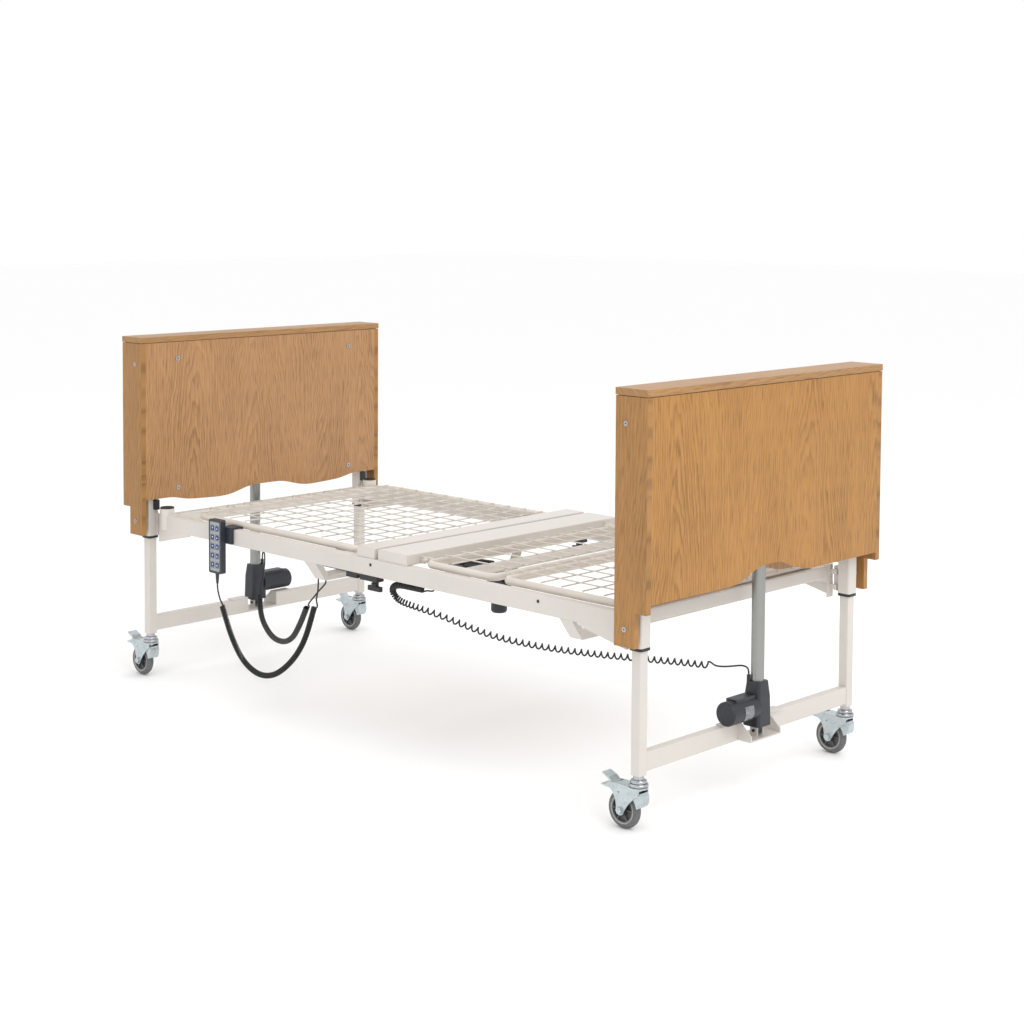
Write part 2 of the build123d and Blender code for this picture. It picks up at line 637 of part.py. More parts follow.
def pivot_ears(x, y, z, top, top_start, top_stop):
    """Ears and pin that hang from a cross tube or bar and hold an actuator's foot."""
    for side in (NEAR, FAR):
        ear = side_view(x_at(x), y + side * 14)
        outline = [(-12, z + 4), (-8, z - 9), (8, z - 9), (13, z + 4), (14, z + 34),
                   (top_stop - x, top), (top_start - x, top), (-12, z + 36)]
        plate(ear, outline, 2, both=True)
    post(side_view(x_at(x), y + 15, z), PIN_RADIUS, 30)


# pivots of the two section actuators: X from the middle of the boards, Y, Z
BACK_PUSH_Y = -130.0
KNEE_PUSH_Y = -40.0
BACK_LUG = (-20.0, 485.0)
BACK_FOOT = (290.0, 480.0)
KNEE_LUG = (205.0, 490.0)
KNEE_FOOT = (-75.0, 478.0)

with BuildPart() as head_half:
    rail(-RAIL_END, JOINT_X - JOINT_GAP / 2)
    across(-995, 530, wide=30, tall=35)
    across(-160, 522)
    drop_member(HEAD_DROP_X, 50)
    rail_ends(HEAD)
    for side in (NEAR, FAR):
        stand = level(x_at(SOCKET_X), side * RAIL_SIDE, SOCKET_BOTTOM)
        post(stand, SOCKET_RADIUS, SOCKET_TOP - SOCKET_BOTTOM)
        post(stand, SOCKET_BORE, SOCKET_TOP - SOCKET_BOTTOM, mode=Mode.SUBTRACT)
save(head_half, "head_frame_half")

with BuildPart() as foot_half:
    rail(JOINT_X + JOINT_GAP / 2, RAIL_END)
    across(995, 530, wide=30, tall=35)
    across(BACK_FOOT[0], 527)
    drop_member(FOOT_DROP_X, 44)
    rail_ends(FOOT)
    for start, stop in ((-27, 49), (65, 188)):
        bar = side_view(x_at((start + stop) / 2), RAIL_SIDE + 10, (BAR_TOP + BAR_BOTTOM) / 2)
        box_tube(bar, stop - start, BAR_TOP - BAR_BOTTOM, 2 * RAIL_SIDE + 20, 2)
    hinge_ears(-27, BACK_HINGE_X)
    hinge_ears(188, THIGH_HINGE_X)
    pivot_ears(BACK_FOOT[0], BACK_PUSH_Y, BACK_FOOT[1], 517, 278, 302)
    pivot_ears(KNEE_FOOT[0], KNEE_PUSH_Y, KNEE_FOOT[1], BAR_BOTTOM + 1, -24, 14)
    for side in (NEAR, FAR):
        post(side_view(x_at(37), side * RAIL_SIDE + 30, 533), 4, 60, mode=Mode.SUBTRACT)
save(foot_half, "foot_frame_half")

# black joint blocks bolt the halves together; a T-shaped knob clamps each one
BLOCK_HEAD_X, BLOCK_FOOT_X = -72.0, 62.0
BLOCK_TALL = 16.0
KNOB_X = 40.0

with BuildPart() as joint_blocks:
    for side in (NEAR, FAR):
        middle = (BLOCK_HEAD_X + BLOCK_FOOT_X) / 2
        slab = level(x_at(middle), side * RAIL_SIDE, RAIL_BOTTOM - BLOCK_TALL)
        block(slab, BLOCK_FOOT_X - BLOCK_HEAD_X, RAIL_WIDE - 2, BLOCK_TALL)
        slot = level(x_at(-18), side * RAIL_SIDE, RAIL_BOTTOM - BLOCK_TALL)
        block(slot, 14, RAIL_WIDE + 10, BLOCK_TALL - 5, mode=Mode.SUBTRACT)
        hole = level(x_at(KNOB_X), side * RAIL_SIDE, RAIL_BOTTOM - BLOCK_TALL)
        post(hole, 5 + RUNNING_GAP, BLOCK_TALL, mode=Mode.SUBTRACT)
save(joint_blocks, "joint_blocks")

for side, side_name in ((NEAR, "near"), (FAR, "far")):
    with BuildPart() as knob:
        post(level(x_at(KNOB_X), side * RAIL_SIDE, 466), 5, RAIL_BOTTOM - 466 - 1)
        with BuildSketch(level(x_at(KNOB_X), side * RAIL_SIDE, 456)) as grip:
            SlotOverall(58, 15)
        extrude(grip.sketch, amount=13)
        post(level(x_at(KNOB_X), side * RAIL_SIDE, 469), 11, 10)
    save(knob, f"{side_name}_clamp_knob")

with BuildPart() as socket_plugs:
    for side in (NEAR, FAR):
        post(level(x_at(SOCKET_X), side * RAIL_SIDE, SOCKET_TOP - 25), SOCKET_BORE - 0.1, 25)
        post(level(x_at(SOCKET_X), side * RAIL_SIDE, SOCKET_TOP), SOCKET_RADIUS - 1, 4)
save(socket_plugs, "socket_plugs")

with BuildPart() as corner_catches:
    for end in (HEAD, FOOT):
        for side in (NEAR, FAR):
            catch = outward(end, LEG_OUT - SLEEVE_SIZE / 2 - 14, side * (LEG_SIDE - 6), 577)
            block(catch, 16, 32, 14)
save(corner_catches, "corner_catches")

# ---------------------------------------------------------------- mattress sections
WIRE_LOW = FRAME_TUBE_Z + FRAME_TUBE - 1
WIRE_HIGH = WIRE_LOW + WIRE - 1
WIRE_PITCH_X = 75.0
WIRE_SPAN = 424.5
ROUND_CORNER = 60.0
SMALL_CORNER = 24.0


def wires(first_x, last_x, cross_start, cross_count, hook_x):
    """Wire mesh: wires along the bed lie on wires across it, and all hook down at the edges."""
    middle = (first_x + last_x) / 2
    for line in range(-6, 7):
        block(level(x_at(middle), line * WIRE_PITCH_Y, WIRE_HIGH), last_x - first_x, WIRE, WIRE)
        hook = first_x + WIRE / 2 if hook_x < 0 else last_x - WIRE / 2
        block(level(x_at(hook), line * WIRE_PITCH_Y, WIRE_HIGH - 12), WIRE, WIRE, 16)
    for line in range(cross_count):
        x = cross_start + line * WIRE_PITCH_X
        block(level(x_at(x), 0, WIRE_LOW), WIRE, 2 * WIRE_SPAN, WIRE)
        for side in (NEAR, FAR):
            end_y = side * (WIRE_SPAN - WIRE / 2)
            block(level(x_at(x), end_y, WIRE_LOW - 12), WIRE, WIRE, 16)


def loop_frame(head_x, foot_x, round_end):
    """Bent round tube round a section, with large corners at its free end."""
    corners = [ROUND_CORNER, ROUND_CORNER, SMALL_CORNER, SMALL_CORNER]
    if round_end > 0:
        corners = [SMALL_CORNER, SMALL_CORNER, ROUND_CORNER, ROUND_CORNER]
    if round_end == 0:
        corners = [SMALL_CORNER] * 4
    points = [(x_at(head_x), SECTION_HALF, FRAME_TUBE_Z), (x_at(head_x), -SECTION_HALF, FRAME_TUBE_Z),
              (x_at(foot_x), -SECTION_HALF, FRAME_TUBE_Z), (x_at(foot_x), SECTION_HALF, FRAME_TUBE_Z)]
    with BuildLine() as path:
        FilletPolyline(*points, radius=corners, close=True)
    with BuildSketch(Plane(path.line @ 0, z_dir=path.line % 0)) as section:
        Circle(FRAME_TUBE)
    sweep(section.sketch, path=path.line)


def lever(y, tube_x, lug, eye, way, opening):
    """Lever plate that an actuator pushes: the opening is its upright slot's shift, width and length."""
    thick = 4.0
    shift, slot_wide, slot_long = opening
    face = side_view(0, y)
    high = FRAME_TUBE_Z
    outline = [(x_at(tube_x), high + 6), (x_at(tube_x) + way * 12, high + 2), (x_at(lug[0]) + way * eye, lug[1] + 6),
               (x_at(lug[0]), lug[1] - eye + 4), (x_at(lug[0]) - way * eye, lug[1]), (x_at(tube_x) - way * 12, high - 14)]
    plate(face, outline, thick, both=True)
    post(side_view(x_at(lug[0]), y + thick, lug[1]), eye, 2 * thick)
    middle = side_view(x_at(lug[0]) + shift, y + thick + 5, lug[1] + (slot_long - slot_wide) / 2)
    with BuildSketch(middle) as slot:
        SlotOverall(slot_long, slot_wide, rotation=90)
    extrude(slot.sketch, amount=2 * thick + 10, mode=Mode.SUBTRACT)


def hinge_arms(tube_x, hinge_x, gap_side):
    """Arms from a section's end tube to its hinge pins."""
    way = 1 if hinge_x > tube_x else -1
    for side in (NEAR, FAR):
        y = side * gap_side
        arm = side_view(0, y)
        outline = [(x_at(tube_x), FRAME_TUBE_Z + 8), (x_at(hinge_x) + way * 6, FRAME_TUBE_Z + 8),
                   (x_at(hinge_x) + way * 9, FRAME_TUBE_Z), (x_at(hinge_x) + way * 6, FRAME_TUBE_Z - 8),
                   (x_at(tube_x), FRAME_TUBE_Z - 8)]
        plate(arm, outline, 3, both=True)


def stub_pins(hinge_x, gap_side, reach):
    """Hinge pins on the arms, pointing outward."""
    for side in (NEAR, FAR):
        start = side * (gap_side + 2)
        pin = Plane((x_at(hinge_x), start, FRAME_TUBE_Z), x_dir=(1, 0, 0), z_dir=(0, side, 0))
        post(pin, HINGE_PIN, reach)


BACK_EYE, BACK_SLOT = 20.0, (-1.8, 17.0, 29.4)
KNEE_EYE, KNEE_SLOT = 15.0, (0.0, 14.0, 17.0)

with BuildPart() as backrest:
    loop_frame(BACK_HEAD_X, BACK_FOOT_X, -1)
    wires(BACK_HEAD_X - 15, BACK_FOOT_X + 8, -843, 11, -1)
    hinge_arms(BACK_FOOT_X, BACK_HINGE_X, ARM_SIDE)
    stub_pins(BACK_HINGE_X, ARM_SIDE, 17)
    lever(BACK_PUSH_Y, BACK_FOOT_X, BACK_LUG, BACK_EYE, 1, BACK_SLOT)
save(backrest, "backrest_section")

with BuildPart() as thigh:
    loop_frame(THIGH_HEAD_X, THIGH_FOOT_X, 0)
    wires(THIGH_HEAD_X - 8, THIGH_FOOT_X + 8, 249, 4, -1)
    hinge_arms(THIGH_HEAD_X, THIGH_HINGE_X, ARM_SIDE)
    stub_pins(THIGH_HINGE_X, ARM_SIDE, 17)
    hinge_arms(THIGH_FOOT_X, KNEE_X, 360)
    stub_pins(KNEE_X, 360, 17)
    lever(KNEE_PUSH_Y, THIGH_HEAD_X, KNEE_LUG, KNEE_EYE, -1, KNEE_SLOT)
save(thigh, "thigh_section")

with BuildPart() as calf:
    loop_frame(CALF_HEAD_X, CALF_FOOT_X, 1)
    wires(CALF_HEAD_X - 8, CALF_FOOT_X + 15, 593, 6, 1)
    hinge_arms(CALF_HEAD_X, KNEE_X, 370)
    for side in (NEAR, FAR):
        hole = side_view(x_at(KNEE_X), side * 370 + 10, FRAME_TUBE_Z)
        post(hole, HINGE_PIN + RUNNING_GAP, 20, mode=Mode.SUBTRACT)
save(calf, "calf_section")

# ---------------------------------------------------------------- section actuators
ACTUATOR_TUBE = 14.0
PUSH_ROD = 8.0
TUBE_END = 195.0           # from the foot pivot
ROD_START = 86.0
FORK_DEEP = 42.0           # from the lug's pin to the back of the fork


def pivot_plane(foot, lug, y):
    """Plane at an actuator's foot that faces along its rod, with its x across the bed."""
    length = hypot(lug[0] - foot[0], lug[1] - foot[1])
    axis = ((lug[0] - foot[0]) / length, 0, (lug[1] - foot[1]) / length)
    return Plane((x_at(foot[0]), y, foot[1]), x_dir=(0, 1, 0), z_dir=axis), length


def section_actuator(foot, lug, y, name):
    """Gearbox with a foot lug, outer tube, and a motor can that hangs below."""
    base, length = pivot_plane(foot, lug, y)
    down = -1 if base.y_dir.Z > 0 else 1
    with BuildPart() as body:
        block(base.offset(-11), 16, 22, 32)
        with BuildSketch(base.offset(20)) as gearbox:
            RectangleRounded(46, 52, 8)
        extrude(gearbox.sketch, amount=58)
        post(base.offset(70), ACTUATOR_TUBE, TUBE_END - 70)
        post(base.offset(ROD_START - 2), PUSH_ROD + RUNNING_GAP, TUBE_END - ROD_START + 3, mode=Mode.SUBTRACT)
        mouth = base.offset(49)
        can_origin = mouth.origin + mouth.y_dir * (down * 20)
        can = Plane(can_origin, x_dir=(0, 1, 0), z_dir=mouth.y_dir * down)
        post(can, 24, 78)
        with BuildSketch(can.offset(78)) as cap:
            Circle(24)
        extrude(cap.sketch, amount=5, taper=35)
        hole = side_view(x_at(foot[0]), y + 20, foot[1])
        post(hole, PIN_RADIUS + RUNNING_GAP, 40, mode=Mode.SUBTRACT)
    save(body, name)


def push_rod(foot, lug, y, name):
    """Rod with a fork and pin that push the section's lever."""
    base, length = pivot_plane(foot, lug, y)
    with BuildPart() as rod:
        post(base.offset(ROD_START), PUSH_ROD, length - ROD_START - FORK_DEEP + 2)
        block(base.offset(length - FORK_DEEP), 26, 20, 10)
        for side in (NEAR, FAR):
            fork = Plane(base.origin + base.z_dir * (length - FORK_DEEP + 6) + Vector(0, side * 10, 0),
                         x_dir=(0, 1, 0), z_dir=base.z_dir)
            block(fork, 5, 16, FORK_DEEP + 4)
        post(side_view(x_at(lug[0]), y + 14, lug[1]), PIN_RADIUS, 28)
    save(rod, name)


section_actuator(BACK_FOOT, BACK_LUG, BACK_PUSH_Y, "backrest_actuator")
push_rod(BACK_FOOT, BACK_LUG, BACK_PUSH_Y, "backrest_push_rod")
section_actuator(KNEE_FOOT, KNEE_LUG, KNEE_PUSH_Y, "knee_actuator")
push_rod(KNEE_FOOT, KNEE_LUG, KNEE_PUSH_Y, "knee_push_rod")

with BuildPart() as control_box:
    with BuildSketch(level(x_at(-262), -255, DROP_BOTTOM + 16)) as shell:
        RectangleRounded(190, 110, 8)
    extrude(shell.sketch, amount=46)
    chamfer(control_box.faces().sort_by(Axis.Z)[-1].edges(), 3)
save(control_box, "control_box")

# ---------------------------------------------------------------- handset
CASE_X = -667.0
CASE_WIDE = 60.0
CASE_TALL = 170.0
CASE_BOTTOM = 408.0
CASE_FRONT = -486.0
CASE_BACK = -465.0
KEY_ROWS = 5
KEY_PITCH = 29.0
KEY_WIDE, KEY_TALL = 42.0, 19.0
KEY_TOP_ROW = CASE_BOTTOM + CASE_TALL - 27.0
POCKET_DEEP = 6.0
KEY_GAP = 0.6
ROCKER_AXIS_Y = CASE_FRONT + 4.6


def case_face(depth=0.0):
    """Plane of the handset's face, moved into the case by a depth."""
    return side_view(x_at(CASE_X), CASE_FRONT + depth, CASE_BOTTOM + CASE_TALL / 2)


with BuildPart() as handset:
    with BuildSketch(case_face()) as shell:
        RectangleRounded(CASE_WIDE, CASE_TALL, 6)
    extrude(shell.sketch, amount=-(CASE_BACK - CASE_FRONT))
    with BuildSketch(case_face()) as window:
        RectangleRounded(CASE_WIDE - 10, CASE_TALL - 14, 3)
    extrude(window.sketch, amount=-1, mode=Mode.SUBTRACT)
    for row in range(KEY_ROWS):
        pocket = side_view(x_at(CASE_X), CASE_FRONT, KEY_TOP_ROW - row * KEY_PITCH)
        with BuildSketch(pocket) as opening:
            RectangleRounded(KEY_WIDE + 2 * KEY_GAP, KEY_TALL + 2 * KEY_GAP, 3)
        extrude(opening.sketch, amount=-POCKET_DEEP, mode=Mode.SUBTRACT)
    hook_x = x_at(CASE_X + 33)
    outline = [(CASE_BACK - 1, 505), (CASE_BACK - 1, 556), (-419, 556), (-419, 532), (-423.5, 532),
               (-423.5, 551.5), (-457, 551.5), (-457, 505)]
    plate(cross_view(hook_x), outline, 26, both=True)
    relief = Plane((x_at(CASE_X), (CASE_FRONT + CASE_BACK) / 2, CASE_BOTTOM + 1), x_dir=(1, 0, 0), z_dir=(0, 0, -1))
    with BuildSketch(relief) as collar:
        Circle(6.5)
    extrude(collar.sketch, amount=34, taper=4.5)
save(handset, "handset")

for row in range(KEY_ROWS):
    middle = KEY_TOP_ROW - row * KEY_PITCH
    with BuildPart() as key:
        with BuildSketch(side_view(x_at(CASE_X), CASE_FRONT + 4.2, middle)) as rocker:
            RectangleRounded(KEY_WIDE, KEY_TALL, 2.5)
        extrude(rocker.sketch, amount=2.6)
        for side in (NEAR, FAR):
            with BuildSketch(side_view(x_at(CASE_X + side * 11.5), CASE_FRONT + 1.6, middle)) as pad:
                RectangleRounded(15, 15, 3)
            extrude(pad.sketch, amount=1.4)
        post(level(x_at(CASE_X), ROCKER_AXIS_Y, middle - KEY_TALL / 2 + 2), 1.2, KEY_TALL - 4)
    save(key, f"handset_rocker_{row + 1}")

# ---------------------------------------------------------------- cords
CORD_RADIUS = 2.6
RELIEF_TIP = CASE_BOTTOM - 33.0


def cord_wire(points):
    """Path of straight runs joined by tangent arcs, each as large as its two runs allow."""
    places = [Vector(x_at(x), y, z) for x, y, z in points]
    radii = []
    for last, corner, following in zip(places, places[1:], places[2:]):
        run_in = corner - last
        run_out = following - corner
        turn = radians(run_in.get_angle(run_out))
        radii.append(0.45 * min(run_in.length, run_out.length) / tan(turn / 2))
    print("cord radii", [round(radius, 1) for radius in radii])
    return FilletPolyline(*places, radius=radii)


def cord(points, radius):
    """Round cord along a route, added to the part being built."""
    with BuildLine() as path:
        cord_wire(points)
    start = path.line @ 0
    with BuildSketch(Plane(start, z_dir=path.line % 0)) as section:
        Circle(radius)
    sweep(section.sketch, path=path.line)


def before(first, second, run):
    """Point that leads straight into a route's first run."""
    ahead = Vector(second) - Vector(first)
    place = Vector(first) - ahead.normalized() * run
    return (place.X, place.Y, place.Z)


def after(second_last, last, run):
    """Point that leads straight out of a route's last run."""
    return before(last, second_last, run)


# X is measured from the middle of the boards
HANDSET_COIL = [(-646, -473, 306), (-628, -471.5, 266), (-608, -470, 225), (-586, -465, 183), (-560, -458, 146),
                (-526, -450, 120), (-484, -443, 108), (-438, -435, 116), (-399, -425, 141), (-366, -411, 178),
                (-343, -399, 219), (-327, -391, 262), (-313, -388, 305), (-298, -387, 346)]
HEAD_COIL = [(-1034, -20, 212), (-1022, -29, 182), (-996, -46, 156), (-950, -71, 137), (-886, -104, 126),
             (-806, -145, 123), (-722, -182, 130), (-640, -218, 150), (-563, -255, 184), (-496, -292, 226),
             (-424, -330, 280), (-366, -362, 328)]
FOOT_COIL = [(232, -431, 488), (186, -431, 487.5), (138, -430, 487), (104, -427, 478), (92, -419, 454),
             (110, -408, 432), (150, -391, 421), (208, -366, 407), (283, -335, 385), (341, -313, 368),
             (399, -290, 355), (485, -257, 345), (570, -225, 340), (682, -182, 338.5), (791, -140, 340),
             (897, -97, 342), (972, -66, 341)]
HANDSET_COIL_RADIUS = 8.5
HEAD_COIL_RADIUS = 8.5
FOOT_COIL_RADIUS = 10.5

HANDSET_TAIL = [(CASE_X, -475.5, RELIEF_TIP), (CASE_X, -475.5, 362), (-664, -475, 348), (-658, -474, 330),
                before(HANDSET_COIL[0], HANDSET_COIL[1], 3), HANDSET_COIL[0]]
HANDSET_END = [HANDSET_COIL[-1], after(HANDSET_COIL[-2], HANDSET_COIL[-1], 22), (-283, -386.5, 392),
               (-279, -387, 415), (-279, -387, DROP_BOTTOM)]
HEAD_TAIL = [(-1072, 20, GLAND_TOP), (-1072, 20, 338), (-1067, 18, 350), (-1056, 14, 355), (-1046, 10, 348),
             (-1041, 7, 332), (-1040, 4, 304), (-1040, -2, 274), (-1039, -9, 246),
             before(HEAD_COIL[0], HEAD_COIL[1], 12), HEAD_COIL[0]]
HEAD_END = [HEAD_COIL[-1], after(HEAD_COIL[-2], HEAD_COIL[-1], 24), (-322, -368, 370), (-294, -372, 394),
            (-268, -374, 414), (-258, -374, 425), (-258, -374, DROP_BOTTOM)]
FOOT_TAIL = [(282, -432, RAIL_BOTTOM), (282, -432, 488.5), before(FOOT_COIL[0], FOOT_COIL[1], 18), FOOT_COIL[0]]
FOOT_END = [FOOT_COIL[-1], after(FOOT_COIL[-2], FOOT_COIL[-1], 18), (1012, -46, 341), (1034, -35, 345),
            (1053, -26, 349), (1067, -21, 346), (1072, -20, 337), (1072, -20, GLAND_TOP)]

with BuildPart() as handset_coil:
    cord(HANDSET_COIL, HANDSET_COIL_RADIUS)
save(handset_coil, "handset_cord_coil")

with BuildPart() as handset_tails:
    cord(HANDSET_TAIL, CORD_RADIUS)
    cord(HANDSET_END, CORD_RADIUS)
save(handset_tails, "handset_cord_tails")

with BuildPart() as head_coil:
    cord(HEAD_COIL, HEAD_COIL_RADIUS)
save(head_coil, "head_lift_cord_coil")

with BuildPart() as head_tails:
    cord(HEAD_TAIL, CORD_RADIUS)
    cord(HEAD_END, CORD_RADIUS)
save(head_tails, "head_lift_cord_tails")

with BuildPart() as foot_coil:
    cord(FOOT_COIL, FOOT_COIL_RADIUS)
save(foot_coil, "foot_lift_cord_coil")

with BuildPart() as foot_tails:
    cord(FOOT_TAIL, CORD_RADIUS)
    cord(FOOT_END, CORD_RADIUS)
save(foot_tails, "foot_lift_cord_tails")
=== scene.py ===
"""Looks of the adjustable bed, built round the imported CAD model.

Metres, in the model's own frame: the head end at -X, the near side at -Y, the floor at Z = 0.
"""

import math

import bmesh
import bpy
from mathutils import Matrix, Vector


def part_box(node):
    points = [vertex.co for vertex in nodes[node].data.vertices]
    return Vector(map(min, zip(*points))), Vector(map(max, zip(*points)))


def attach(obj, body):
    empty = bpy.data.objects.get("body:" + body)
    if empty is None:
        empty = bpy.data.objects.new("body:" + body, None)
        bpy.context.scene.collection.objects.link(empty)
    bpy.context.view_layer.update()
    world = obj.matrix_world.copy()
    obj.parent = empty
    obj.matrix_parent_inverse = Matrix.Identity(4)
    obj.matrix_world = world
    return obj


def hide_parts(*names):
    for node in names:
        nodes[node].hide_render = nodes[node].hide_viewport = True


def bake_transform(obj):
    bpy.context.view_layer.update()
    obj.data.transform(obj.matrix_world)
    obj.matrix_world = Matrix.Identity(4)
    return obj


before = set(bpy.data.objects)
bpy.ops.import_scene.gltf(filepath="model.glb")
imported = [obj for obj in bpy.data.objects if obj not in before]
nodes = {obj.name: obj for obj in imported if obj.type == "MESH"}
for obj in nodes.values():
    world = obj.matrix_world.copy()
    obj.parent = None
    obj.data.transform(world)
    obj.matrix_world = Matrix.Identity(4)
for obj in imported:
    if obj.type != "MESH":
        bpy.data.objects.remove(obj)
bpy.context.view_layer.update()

MM = 0.001
WHEEL_RADIUS = 50 * MM
CENTRE_X = 0.0215          # middle of the two end boards
NEAR, FAR = -1, 1


# ---------------------------------------------------------------- camera, floor and lights
CAMERA_PLACE = Vector((4.0875, -4.006, 1.618))
CAMERA_YAW = math.radians(44.29)
CAMERA_PITCH = math.radians(3.37)
CAMERA_ROLL = math.radians(0.35)
CAMERA_LENS = 65.78
CAMERA_SHIFT = -0.207
FLOOR_REACH = 30.0
FLOOR_WHITE = 0.985


def make_camera():
    """Camera at the picture's viewing angle."""
    ahead = Vector((-math.sin(CAMERA_YAW) * math.cos(CAMERA_PITCH),
                    math.cos(CAMERA_YAW) * math.cos(CAMERA_PITCH), -math.sin(CAMERA_PITCH)))
    level = Vector((math.cos(CAMERA_YAW), math.sin(CAMERA_YAW), 0))
    above = level.cross(ahead)
    right = level * math.cos(CAMERA_ROLL) + above * math.sin(CAMERA_ROLL)
    up = above * math.cos(CAMERA_ROLL) - level * math.sin(CAMERA_ROLL)
    turn = Matrix((right, up, -ahead)).transposed().to_4x4()
    data = bpy.data.cameras.new("camera")
    data.lens = CAMERA_LENS
    data.shift_y = CAMERA_SHIFT
    camera = bpy.data.objects.new("camera", data)
    camera.matrix_world = Matrix.Translation(CAMERA_PLACE) @ turn
    bpy.context.scene.collection.objects.link(camera)
    bpy.context.scene.camera = camera


def area_light(name, place, target, size, power):
    """Soft square light aimed at a point."""
    data = bpy.data.lights.new(name, "AREA")
    data.size = size
    data.energy = power
    light = bpy.data.objects.new(name, data)
    aim = (Vector(target) - Vector(place)).to_track_quat("-Z", "Y")
    light.matrix_world = Matrix.Translation(place) @ aim.to_matrix().to_4x4()
    bpy.context.scene.collection.objects.link(light)


def make_studio():
    """White floor, even white surroundings and three soft lights."""
    world = bpy.data.worlds.new("studio")
    world.use_nodes = True
    backdrop = world.node_tree.nodes["Background"]
    backdrop.inputs["Color"].default_value = (1.0, 1.0, 1.0, 1)
    backdrop.inputs["Strength"].default_value = 1.0
    bpy.context.scene.world = world
    bpy.context.scene.view_settings.view_transform = "Standard"

    mesh = bpy.data.meshes.new("floor")
    corners = [(-FLOOR_REACH, -FLOOR_REACH, 0), (FLOOR_REACH, -FLOOR_REACH, 0),
               (FLOOR_REACH, FLOOR_REACH, 0), (-FLOOR_REACH, FLOOR_REACH, 0)]
    mesh.from_pydata(corners, [], [(0, 1, 2, 3)])
    floor = bpy.data.objects.new("floor", mesh)
    bpy.context.scene.collection.objects.link(floor)
    material, tree, shader = new_look("floor_paint", roughness=0.7)
    shader.inputs["Base Color"].default_value = (FLOOR_WHITE, FLOOR_WHITE, FLOOR_WHITE, 1)
    mesh.materials.append(material)

    area_light("key", (4.2, -1.0, 3.6), (0, 0, 0.6), 3.0, 70)
    area_light("side", (-2.0, -4.5, 2.6), (0, 0, 0.5), 3.0, 12)
    area_light("top", (0, 0.5, 4.5), (0, 0, 0.5), 4.0, 40)


# ---------------------------------------------------------------- materials
def new_look(name, roughness=0.5, metallic=0.0):
    """Empty material with a Principled shader."""
    material = bpy.data.materials.new(name)
    material.use_nodes = True
    tree = material.node_tree
    shader = tree.nodes["Principled BSDF"]
    shader.inputs["Roughness"].default_value = roughness
    shader.inputs["Metallic"].default_value = metallic
    return material, tree, shader


def add(tree, kind, values=None, **settings):
    """Node with its settings and the values of its unlinked inputs."""
    node = tree.nodes.new("ShaderNode" + kind)
    for key, value in settings.items():
        setattr(node, key, value)
    for key, value in (values or {}).items():
        node.inputs[key].default_value = value
    return node


def maths(tree, operation, first, second=None, third=None):
    """Output of a Math node on sockets or numbers."""
    node = add(tree, "Math", operation=operation)
    for place, value in enumerate((first, second, third)):
        if isinstance(value, (int, float)):
            node.inputs[place].default_value = value
        elif value is not None:
            tree.links.new(value, node.inputs[place])
    return node.outputs[0]


def scaled(tree, coords, scale):
    """Coordinates multiplied along each axis."""
    node = add(tree, "VectorMath", operation="MULTIPLY")
    tree.links.new(coords, node.inputs[0])
    node.inputs[1].default_value = scale
    return node.outputs[0]


def noise(tree, coords, scale, detail=2.0, roughness=0.5):
    """Noise value from 0 to 1."""
    node = add(tree, "TexNoise", {"Scale": scale, "Detail": detail, "Roughness": roughness})
    tree.links.new(coords, node.inputs["Vector"])
    return node.outputs["Fac"]


def ramp(tree, value, stops):
    """Colour ramp: stops are pairs of a place and a colour or grey."""
    node = add(tree, "ValToRGB")
    elements = node.color_ramp.elements
    while len(elements) < len(stops):
        elements.new(0.5)
    for element, (place, colour) in zip(elements, stops):
        element.position = place
        element.color = (*colour, 1) if isinstance(colour, tuple) else (colour, colour, colour, 1)
    tree.links.new(value, node.inputs["Fac"])
    return node.outputs["Color"]


def mixed(tree, factor, first, second, blend="MIX"):
    """Mix of two colours."""
    node = add(tree, "Mix", data_type="RGBA", blend_type=blend)
    for socket, value in ((node.inputs[0], factor), (node.inputs[6], first), (node.inputs[7], second)):
        if isinstance(value, tuple):
            socket.default_value = (*value, 1)
        elif isinstance(value, (int, float)):
            socket.default_value = value
        else:
            tree.links.new(value, socket)
    return node.outputs[2]


def bump(tree, shader, height, strength, distance):
    """Bump on a shader."""
    node = add(tree, "Bump", {"Strength": strength, "Distance": distance})
    tree.links.new(height, node.inputs["Height"])
    tree.links.new(node.outputs["Normal"], shader.inputs["Normal"])


def place_coords(tree):
    """Coordinates of the model's own frame, which stay with the piece."""
    return add(tree, "TexCoord").outputs["Object"]


def speckled(name, colour, variation, roughness, metallic, grain, relief, patch):
    """Painted, moulded or plated surface: fine grain, slow colour change and uneven gloss."""
    material, tree, shader = new_look(name, roughness, metallic)
    coords = place_coords(tree)
    slow = noise(tree, coords, patch, 3)
    fine = noise(tree, coords, grain, 2)
    dark = tuple(channel * (1 - variation) for channel in colour)
    light = tuple(min(1, channel * (1 + variation)) for channel in colour)
    both = maths(tree, "MULTIPLY_ADD", fine, 0.35, maths(tree, "MULTIPLY", slow, 0.65))
    tree.links.new(ramp(tree, both, [(0.3, dark), (0.7, light)]), shader.inputs["Base Color"])
    gloss = ramp(tree, slow, [(0.3, max(0.02, roughness - 0.06)), (0.7, min(1, roughness + 0.08))])
    tree.links.new(gloss, shader.inputs["Roughness"])
    bump(tree, shader, fine, relief, 0.0004)
    return material


OAK_GLOSS = 0.42
HEART_WIDTH = 0.022        # metres over which the arches round off
RINGS_ACROSS = 95.0        # growth rings per metre across the board
RINGS_ALONG = 11.0         # and along it


